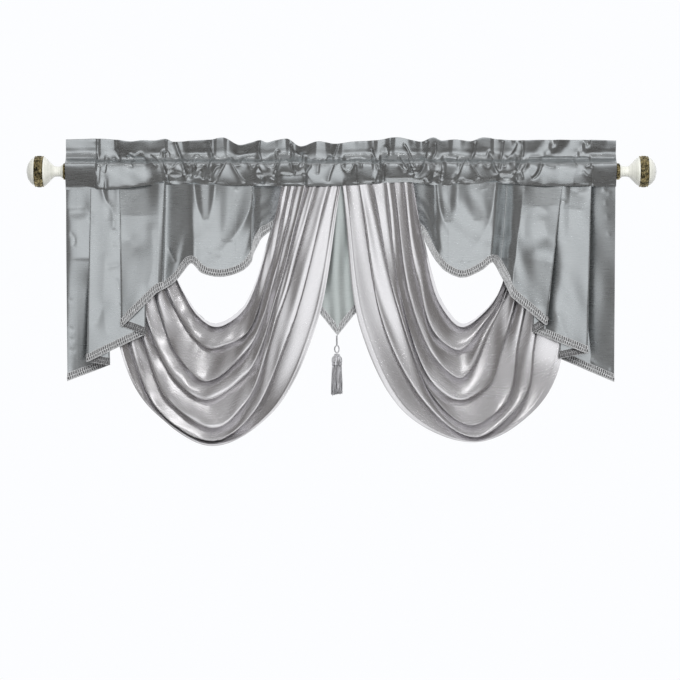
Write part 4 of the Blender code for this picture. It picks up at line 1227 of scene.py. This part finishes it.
# The same columns for the right panel
RIGHT_CREASES = [
    (1, 26, 30, 50, 50, [(534, 49), (534, -572)]),
    (1, 0.9, 0.9, 4, 4, [(600, -38), (614, -47)]),
    (1, 0.6, 0.6, 4, 4, [(610, -45), (623, -54)]),
    (1, 0.5, 0.5, 4, 4, [(605, -66), (614, -77)]),
    (1, 0.4, 0.4, 4, 4, [(607, -98), (619, -109)]),
    (1, 0.4, 0.4, 4, 4, [(610, -139), (623, -148)]),
    (1, -1.4, -1.4, 6, 6, [(564, -424), (591, -447), (623, -459)]),
    (2, 4, 13, 8, 20, [(494, 15), (465, -411)]),
    (2, 0.5, 0.5, 4, 4, [(511, -77), (520, -86)]),
    (2, -0.8, -0.8, 4, 4, [(504, -66), (518, -75)]),
    (2, -0.8, -0.8, 7, 7, [(494, -323), (513, -374), (543, -406)]),
    (2, 2.4, 0.2, 9, 12, [(529, -1), (524, -100), (520, -171)]),
    (2, 0.5, 0.5, 4, 4, [(527, -43), (545, -52)]),
    (2, -0.6, -0.6, 5, 5, [(543, -49), (568, -47)]),
    (3, -2.2, -0.2, 5.5, 8, [(218, -20), (225, -82), (237, -116), (253, -153)]),
    (3, -1.8, -0.2, 8, 10, [(269, -24), (264, -100), (253, -148)]),
    (3, -2.4, -0.2, 5.5, 10, [(356, -20), (347, -89), (329, -139), (292, -197)]),
    (3, 0.4, 0.4, 4, 4, [(269, -208), (283, -199)]),
    (3, 0.4, 0.4, 4, 4, [(288, -210), (299, -199)]),
    (3, -0.5, -0.5, 4, 4, [(317, -43), (338, -38)]),
    (3, 11, 11, 10, 10, [(384, 15), (375, -135), (361, -261)]),
    (3, -1.2, -1.2, 12, 12, [(421, -162), (423, -102), (451, -82), (481, -98)]),
    (3, 1.7, 1.7, 20, 20, [(439, -148), (446, -181)]),
    (3, -1.7, -1.7, 15, 15, [(465, -116), (471, -148)]),
    (3, 0.6, 0.6, 5, 5, [(416, -286), (425, -307)]),
    (3, 19, 19, 42, 42, [(124, 49), (136, -250)]),
]
# Broader flat-bottomed hollows, in the same columns
RIGHT_HOLLOWS = [
    (1, 10, 24, 68, 68, [(570, 49), (570, -572)]),
    (2, 7, 0.2, 24, 22, [(545, -6), (536, -89)]),
    (3, 6, 0.5, 22, 8, [(241, -10), (244, -118)]),
    (3, 7, 0.5, 32, 16, [(306, -6), (320, -114)]),
    (3, 12, 0.2, 46, 44, [(455, -1), (455, -79)]),
    (3, 7, 0.4, 42, 36, [(465, -208), (448, -309)]),
]
PANEL_DEPTHS = (-4.0, 34.0)
FACING_FRONT = (0.45, 0.8)
FREE_OF_SEAM = 40.0
UNEVEN = 0.45
UNEVEN_WIDTH = 90.0
UNEVEN_HEIGHT = 150.0


def on_lobes(x, z, layer, table, power, fade):
    """Depth of the creases of each lobe; a lobe's creases also move the layers behind it."""
    lobe = np.floor(layer / 2.0 + 0.75) + 1.0
    total = np.zeros(x.shape)
    for number in (1, 2, 3):
        rows = [row[1:] for row in table if row[0] == number]
        here = lobe <= number
        total[:, here] += creases(x[:, here], z[:, here], rows, power, fade)
    return total


def panel_folds(grid, layer, table, hollows, seed):
    """Lays the creases and hollows on the parts that face the front, with a slight unevenness."""
    facing = smooth_step(*FACING_FRONT, np.abs(normals(grid)[:, :, 1]))
    x, z = grid[:, :, 0], grid[:, :, 2]
    depth = on_lobes(x, z, layer, table, power=1.5, fade=1.6)
    depth += on_lobes(x, z, layer, hollows, power=3.0, fade=0.0)
    free = smooth_step(0.0, FREE_OF_SEAM, pocket_seam(grid[0, :, 0])[None, :] - z)
    along = row_lengths(grid, 1)
    uneven = ripples(along / UNEVEN_WIDTH, z / UNEVEN_HEIGHT, seed, waves=6, slant=0.7)
    depth += free * (UNEVEN * uneven)
    moved = grid.copy()
    moved[:, :, 1] += facing * np.clip(depth, *PANEL_DEPTHS)
    return moved


print("creases of the cascades:", len(LEFT_CREASES), "and", len(RIGHT_CREASES))

# %% The two cascades
TAIL_BRAID = 17.0
HUNG_ROWS = 110
CASCADE_COLUMNS = 620
# The layers are pressed together where the tail is sewn to the heading
SEWN_FROM = (400.0, 450.0)
SEWN_DEPTH = -14.0
SEWN_PITCH = 0.35


def cascade(side, edges, bends, table, hollows, seed):
    path = cascade_path(edges, bends, flat_steps=60, turn_steps=16, bend_steps=24)
    path = even_path(path, CASCADE_COLUMNS)
    sewn = smooth_step(*SEWN_FROM, np.abs(path[:, 0])) * (1.0 - SEWN_PITCH)
    path[:, 1] += (SEWN_DEPTH - path[:, 1]) * sewn
    grid = panel_folds(hanging(path, HUNG_ROWS, TAIL_BRAID), path[:, 5], table, hollows, seed)
    piece = sheet_piece(side + "_cascade_cloth", grid, cloth_looks["taffeta"])
    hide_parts(side + "_cascade")
    hem_braid(side + "_cascade_gimp", path, grid, side + "_cascade_trim", TAIL_BRAID)
    print(side, "cascade", grid.shape)


cascade("left", LEFT_EDGES, LEFT_BENDS, LEFT_CREASES, LEFT_HOLLOWS, 31)
cascade("right", RIGHT_EDGES, RIGHT_BENDS, RIGHT_CREASES, RIGHT_HOLLOWS, 41)

# %% [markdown]
# A swag is satin cut on the cross and pleated into the seam at both ends. Its folds hang in seven
# strings from end to end, and each fold stands out and hangs over the next one. The strings are
# drawn at five places each. Between two strings a wave makes the fold: a narrow crest, a
# quick drop, and a slow rise out to the next crest, as heavy satin does.

# %% Strings of the swags
# Left end x, then x and z at five places along the string, right end x
LEFT_STRINGS = [
    (-462, -359, -275, -322, -328, -285, -348, -225, -308, -163, -136, -137),
    (-476, -384, -298, -336, -365, -286, -390, -221, -365, -166, -233, -120),
    (-492, -405, -337, -356, -429, -299, -464, -216, -409, -152, -229, -107),
    (-511, -435, -365, -375, -468, -304, -509, -214, -454, -147, -273, -84),
    (-529, -446, -408, -389, -516, -297, -570, -214, -519, -143, -309, -62),
    (-547, -471, -429, -409, -551, -292, -611, -200, -549, -122, -346, -32),
    (-564, -490, -452, -416, -560, -292, -626, -163, -551, -66, -348, -3),
]
RIGHT_STRINGS = [
    (414, 366, -268, 322, -325, 278, -347, 230, -291, 194, -164, 167),
    (428, 373, -274, 320, -353, 266, -394, 214, -358, 177, -227, 147),
    (442, 374, -293, 320, -392, 271, -460, 212, -413, 161, -273, 124),
    (460, 379, -365, 338, -457, 274, -514, 207, -470, 143, -296, 106),
    (478, 405, -390, 363, -528, 299, -573, 216, -519, 131, -296, 76),
    (497, 437, -411, 391, -545, 306, -604, 200, -532, 103, -323, 44),
    (518, 494, -445, 421, -560, 306, -618, 159, -553, 55, -358, 7),
]
# How far back each string is at its seven places, and how far its fold stands out and hangs over
STRING_DEPTHS = [
    (9, 4, -8, -16, -17, -11, -5), (10, 4, -15, -26, -26, -15, -6), (11, 5, -20, -33, -31, -17, -6),
    (12, 6, -22, -37, -33, -17, -7), (13, 7, -20, -36, -31, -16, -7), (14, 9, -15, -31, -27, -14, -7),
    (15, 10, -8, -22, -20, -11, -6),
]
FOLD_STAND = (2.6, 6.0, 10.5, 12.5, 10.5, 5.5, 2.4)
FOLD_LEAN = (0.08, 0.14, 0.20, 0.22, 0.22, 0.20, 0.10)
CREST_DROP = 0.28
WANDER = 0.10
# Strings at the neckline and the hem between which a fold may wander
FREE_OF_NECK = (0.0, 0.8)
FREE_OF_HEM = (6.0, 5.2)
SWAG_ROWS = 240
SWAG_STEPS = 41


def crest_wave(turns):
    """From 1 on a rounded crest down to -1 in the hollow under it, then slowly out to the next crest."""
    share = turns % 1.0
    drop = np.cos(math.pi * np.clip(share / CREST_DROP, 0.0, 1.0))
    rise = 2.0 * np.sin(math.pi / 2.0 * np.clip((share - CREST_DROP) / (1.0 - CREST_DROP), 0.0, 1.0)) - 1.0
    return np.where(share < CREST_DROP, drop, rise)


def string_surface(strings, places, shares):
    """The smooth surface through all strings, before its folds."""
    keys = np.arange(len(strings))
    across = np.column_stack([curve(keys, column, places) for column in np.array(strings, float).T])
    deep = np.column_stack([curve(keys, column, places) for column in np.array(STRING_DEPTHS, float).T])
    grid = np.zeros((len(places), len(shares), 3))
    for row in range(len(places)):
        ends = across[row, [0, -1]]
        high = pocket_seam(ends) - SEAM_GAP
        x = np.concatenate([ends[:1], across[row, 1:-1:2], ends[1:]])
        z = np.concatenate([high[:1], across[row, 2:-1:2], high[1:]])
        knots = np.concatenate([[0.0], np.cumsum(np.sqrt(np.hypot(np.diff(x), np.diff(z))))])
        at = np.interp(shares, np.arange(len(x)), knots)
        grid[row] = np.column_stack([hang(knots, values, at) for values in (x, deep[row], z)])
    return grid


def swag_grid(strings, seed):
    places = np.linspace(0.0, len(strings) - 1, SWAG_ROWS + 1)
    stations = len(FOLD_STAND)
    shares = np.linspace(0.0, stations - 1, (stations - 1) * SWAG_STEPS + 1)
    grid = string_surface(strings, places, shares)
    stand = curve(np.arange(stations), FOLD_STAND, shares)
    lean = curve(np.arange(stations), FOLD_LEAN, shares)
    spread = np.gradient(grid, places, axis=0)
    level = np.clip(np.minimum(shares, shares[-1] - shares), 0.0, 1.0)
    wander = WANDER * ripples(shares[None, :] / 2.6, places[:, None] / 3.0, seed, waves=5, slant=0.6)
    wander *= smooth_step(*FREE_OF_NECK, places[:, None]) * smooth_step(*FREE_OF_HEM, places[:, None])
    wave = crest_wave(places[:, None] + wander)
    grid[:, :, 0] += spread[:, :, 0] * lean * wave
    grid[:, :, 2] += spread[:, :, 2] * lean * wave * level
    grid[:, :, 1] -= stand * (1.0 + wave)
    return swag_creases(grid, places, shares, seed)


# %% Fine folds of the swags
# Where along a string its pleated arms begin, on the right and on the left
RIGHT_ARM = (3.6, 5.2)
LEFT_ARM = (1.9, 0.8)
LEFT_ARM_SHARE = 0.8
ARM_FOLDS = 0.85
SOFT_FOLDS = 0.7
EVEN_FOLDS = 0.1
PINNED_END = 0.25
HEM_THICK = 0.5
HEM_UP = 0.17
HEM_WIDTH = 0.03


def swag_creases(grid, places, shares, seed):
    """Finer folds along the strings, strongest in the pleated arms, and a thin hem."""
    arm = smooth_step(*RIGHT_ARM, shares) + LEFT_ARM_SHARE * smooth_step(*LEFT_ARM, shares)
    fine = ripples(places[:, None] * 1.3, shares[None, :] / 5.0, seed + 1, waves=6, slant=0.5)
    soft = ripples(places[:, None] / 1.4, shares[None, :] / 1.1, seed + 3, waves=6, slant=0.8)
    pinned = smooth_step(0.0, PINNED_END, np.minimum(shares, shares[-1] - shares))[None, :]
    push = arm * ARM_FOLDS * fine + SOFT_FOLDS * soft * pinned + EVEN_FOLDS * fine
    hem = HEM_THICK * np.exp(-((places[:, None] - (places[-1] - HEM_UP)) / HEM_WIDTH) ** 2)
    normal = normals(grid)
    normal *= np.where(normal[:, :, 1:2] > 0.0, -1.0, 1.0)
    return grid + normal * (push + hem)[:, :, None]


def swag(side, strings, seed):
    grid = swag_grid(strings, seed)
    piece = sheet_piece(side + "_swag_cloth", grid, cloth_looks["satin"])
    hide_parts(side + "_swag")
    print(side, "swag", grid.shape)


swag("left", LEFT_STRINGS, 51)
swag("right", RIGHT_STRINGS, 61)

# %% [markdown]
# The jabot is the narrow hanging between the swags, cut to a point. It hangs nearly flat, so the
# tools of the cascades make it too: a gently waved path, a hem in two slopes, and the same braid.

# %% Jabot
JABOT_HEM = [(-84, -282), (-56, -317), (-8, -377), (42, -315), (69, -282)]
JABOT_COLUMNS = 121
JABOT_BACK = 7.0
JABOT_WAVE = 1.6
JABOT_FOLDS = 3.0
JABOT_UNEVEN = 0.8
JABOT_UNEVEN_WIDTH = 60.0
JABOT_UNEVEN_HEIGHT = 160.0
JABOT_BRAID = 14.5


def jabot():
    xs = np.linspace(JABOT_HEM[0][0], JABOT_HEM[-1][0], JABOT_COLUMNS)
    hem = np.interp(xs, *zip(*JABOT_HEM))
    depth = JABOT_BACK + JABOT_WAVE * np.cos(math.tau * JABOT_FOLDS * (xs - xs[0]) / (xs[-1] - xs[0]))
    path = np.column_stack([xs, depth, xs, depth, hem])
    grid = hanging(path, HUNG_ROWS, JABOT_BRAID)
    x, z = grid[:, :, 0], grid[:, :, 2]
    uneven = ripples(x / JABOT_UNEVEN_WIDTH, z / JABOT_UNEVEN_HEIGHT, seed=71, waves=5, slant=0.5)
    grid[:, :, 1] -= JABOT_UNEVEN * uneven
    piece = sheet_piece("centre_jabot_cloth", grid, cloth_looks["pale_satin"])
    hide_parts("centre_jabot")
    hem_braid("jabot_gimp", path, grid, "jabot_trim", JABOT_BRAID)
    print("jabot", grid.shape)


jabot()

# %% [markdown]
# The tassel hangs on a short cord and a loop. Its head is wound with thread, and its skirt is many
# loose strands. A particle system would grow them, but it exports badly, so each strand is a tube of
# its own with a seeded place, sway and length. Cord and loop are two yarns twisted round each other.

# %% Head and skirt of the tassel
POINT_X = -9.5
TASSEL_PROFILE = [
    (-419.0, 3.0), (-420.0, 5.6), (-423.0, 6.0), (-426.0, 9.4), (-430.0, 11.4), (-437.0, 11.8),
    (-440.0, 10.6), (-443.0, 10.4), (-445.0, 11.6),
]
HEAD_SIDES = 120
HEAD_RIDGES = 24.0
RIDGE_DEPTH = 0.035
# Top of each binding, its radius and how many times it is wound
BINDINGS = ((-421.5, 6.3, 3), (-440.0, 11.2, 4))
BINDING_PITCH = 1.1
BINDING_RADIUS = 0.75
SKIRT_TOP = -442.0
SKIRT_END = -511.0
SKIRT_RADII = (10.6, 13.4)
SKIRT_WIDEST = 13.6
STRANDS = 260
STRAND_STEPS = 7
STRAND_RADIUS = 0.62
INNERMOST = 0.02
# How unlike one another the strands are, in mm, and in radians for the turn
STRAND_SPREAD = 0.35
STRAND_SWAY = 0.6
STRAND_TURN = 0.05
STRAND_UNEVEN = 1.0
SKIRT_TILT = 1.5
SKIRT_FLARE = 0.8


def round_tassel(radius, turn, z):
    """Places round the tassel's axis."""
    return np.stack([POINT_X + radius * np.cos(turn), JABOT_BACK + radius * np.sin(turn), z], axis=-1)


def tassel():
    """A thread-covered head with two bindings, and the strands of the skirt rooted inside it."""
    random = np.random.default_rng(81)
    fine = spline(TASSEL_PROFILE, PROFILE_STEPS)
    turn = math.tau * np.arange(HEAD_SIDES) / HEAD_SIDES
    ridge = 1.0 + RIDGE_DEPTH * np.abs(np.sin(turn * HEAD_RIDGES))
    head = round_tassel(fine[:, 1:2] * ridge, turn, fine[:, 0:1] + 0.0 * turn).reshape(-1, 3)
    parts = [(head, ring_faces(len(fine), HEAD_SIDES))]
    for top, radius, winds in BINDINGS:
        turns = np.linspace(0.0, math.tau * winds, 40 * winds)
        path = round_tassel(radius, turns, top - BINDING_PITCH * turns / math.tau)
        parts.append(tube(path, BINDING_RADIUS, sides=5))
    share = np.linspace(0.0, 1.0, STRAND_STEPS)
    for _ in range(STRANDS):
        angle = random.uniform(0.0, math.tau)
        reach = math.sqrt(random.uniform(INNERMOST, 1.0))
        start = SKIRT_RADII[0] * reach
        end = SKIRT_RADII[1] * reach + random.normal(0.0, STRAND_SPREAD)
        sway = random.normal(0.0, STRAND_SWAY) * np.sin(share * math.pi)
        swing = angle + random.normal(0.0, STRAND_TURN) * share
        radius = np.minimum(start + (end - start) * share ** SKIRT_FLARE + sway, SKIRT_WIDEST)
        length = SKIRT_END + random.normal(0.0, STRAND_UNEVEN) + SKIRT_TILT * math.cos(angle)
        path = round_tassel(radius, swing, SKIRT_TOP + (length - SKIRT_TOP) * share)
        parts.append(tube(path, STRAND_RADIUS, sides=4))
    piece = add_piece("tassel_threads", *joined(parts), hard_looks["tassel_yarn"])
    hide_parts("tassel")
    print("tassel with", STRANDS, "strands")


tassel()

# %% Loop and cord of the tassel
POINT_Z = -377.6
CORD_END = -398.0
CORD_RADIUS = 2.1
CORD_STEPS = 49
CORD_TWISTS = 3.5
LOOP_HALF_WIDTH = 5.0
LOOP_HALF_HEIGHT = 8.4
LOOP_MIDDLE = -408.5
LOOP_OPEN = 0.02
LOOP_YARN_RADIUS = 1.6
LOOP_YARN_STEPS = 121
LOOP_TWISTS = 9.0
# Shares of the whole radius: a yarn's distance from the middle and its own radius
YARN_OFF = 0.5
YARN_THICK = 0.56


def plied(path, radius, turns):
    """Two strands wound round a path, as points and faces."""
    ahead = np.gradient(path, axis=0)
    ahead /= np.linalg.norm(ahead, axis=1, keepdims=True)
    side = np.cross(ahead, (0.0, 1.0, 0.0))
    side /= np.linalg.norm(side, axis=1, keepdims=True)
    up = np.cross(side, ahead)
    turn = np.linspace(0.0, math.tau * turns, len(path))[:, None]
    parts = []
    for phase in (0.0, math.pi):
        off = side * np.cos(turn + phase) + up * np.sin(turn + phase)
        parts.append(tube(path + off * radius * YARN_OFF, radius * YARN_THICK, sides=7))
    return joined(parts)


def tassel_loop():
    turn = np.linspace(LOOP_OPEN, math.tau - LOOP_OPEN, LOOP_YARN_STEPS)
    path = np.column_stack([POINT_X + LOOP_HALF_WIDTH * np.sin(turn), np.full_like(turn, JABOT_BACK),
                            LOOP_MIDDLE + LOOP_HALF_HEIGHT * np.cos(turn)])
    yarns = plied(path, LOOP_YARN_RADIUS, LOOP_TWISTS)
    piece = add_piece("tassel_loop_plied", *yarns, hard_looks["tassel_yarn"])
    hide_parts("tassel_loop")
    print("loop", round(2 * LOOP_HALF_HEIGHT), "mm high")


def tassel_cord():
    z = np.linspace(POINT_Z, CORD_END, CORD_STEPS)
    path = np.column_stack([np.full_like(z, POINT_X), np.full_like(z, JABOT_BACK), z])
    piece = add_piece("tassel_cord_plied", *plied(path, CORD_RADIUS, CORD_TWISTS), hard_looks["tassel_yarn"])
    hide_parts("tassel_cord")
    print("cord", round(POINT_Z - CORD_END), "mm long")


tassel_loop()
tassel_cord()

# %% [markdown]
# The drape is shown cut out on white, in soft light from the front. Silvery cloth mostly mirrors
# what is round it, so the sky is white behind the drape and shades from bright to grey in front of
# it: folds that turn sideways or upwards mirror the grey part. The floor is pale and well below.

# %% Floor and lights
FLOOR_HEIGHT = -1.6
FLOOR_RADIUS = 1.3
FLOOR_SIDES = 96
FLOOR_DARK = (0.78, 0.78, 0.78)
FLOOR_LIGHT = (0.84, 0.84, 0.84)
LIT_PLACE = (0.0, 0.0, -0.35)


def add_floor():
    turn = math.tau * np.arange(FLOOR_SIDES) / FLOOR_SIDES
    rim = [FLOOR_RADIUS * np.cos(turn), FLOOR_RADIUS * np.sin(turn), np.full_like(turn, FLOOR_HEIGHT)]
    mesh = bpy.data.meshes.new("floor")
    mesh.from_pydata(np.column_stack(rim).tolist(), [], [tuple(range(FLOOR_SIDES))])
    look = Look("pale_floor", Roughness=0.7)
    look.drive("Base Color", look.place().noise(3.0).mix(FLOOR_DARK, FLOOR_LIGHT))
    mesh.materials.append(look.material)
    floor = bpy.data.objects.new("floor", mesh)
    bpy.context.scene.collection.objects.link(floor)


def add_light(name, place, size, power):
    lamp = bpy.data.lights.new(name, "AREA")
    lamp.shape = "RECTANGLE"
    lamp.size, lamp.size_y = size
    lamp.energy = power
    holder = bpy.data.objects.new(name, lamp)
    holder.location = place
    holder.rotation_euler = (Vector(LIT_PLACE) - Vector(place)).to_track_quat("-Z", "Y").to_euler()
    bpy.context.scene.collection.objects.link(holder)
    return holder


add_floor()
add_light("key_softbox", place=(0.0, -5.0, 0.42), size=(2.6, 1.1), power=3.0)
# The fill only lights the cloth; its mirror image would be a white patch in the satin
fill = add_light("fill_softbox", place=(0.6, -4.5, 1.6), size=(2.0, 2.0), power=220.0)
fill.visible_glossy = False
add_light("high_softbox", place=(0.0, -3.0, 2.4), size=(1.3, 0.5), power=4.5)
print("floor and three lights")

# %% Sky
BACKDROP = (0.975, 0.983, 1.0)
SKY_LOW = (0.085, 0.076, 0.07)
SKY_HIGH = (0.90, 0.91, 0.925)
# Each is: from, to, value at from, value at to
BEHIND = (-0.02, 0.20, 0.0, 1.0)
ABOVE_FLOOR = (-0.40, -0.16, 0.0, 1.0)
BELOW_TOP = (0.20, 0.32, 1.0, 0.36)
NEAR_MIDDLE = (0.06, 0.30, 1.0, 0.12)


def add_sky():
    world = bpy.data.worlds.new("studio_sky")
    world.use_nodes = True
    tree = world.node_tree
    way = Wire(tree).node("ShaderNodeTexCoord", {}, "Generated")
    side, front, height = (way.node("ShaderNodeSeparateXYZ", {0: way}, axis) for axis in "XYZ")
    glow = height.eased(*ABOVE_FLOOR) * height.eased(*BELOW_TOP) * (side * side).eased(*NEAR_MIDDLE)
    shown = front.eased(*BEHIND).mix(glow.mix(SKY_LOW, SKY_HIGH), BACKDROP)
    tree.links.new(shown.socket, tree.nodes["Background"].inputs["Color"])
    bpy.context.scene.world = world


add_sky()
bpy.context.scene.view_settings.view_transform = "Standard"
print("sky")
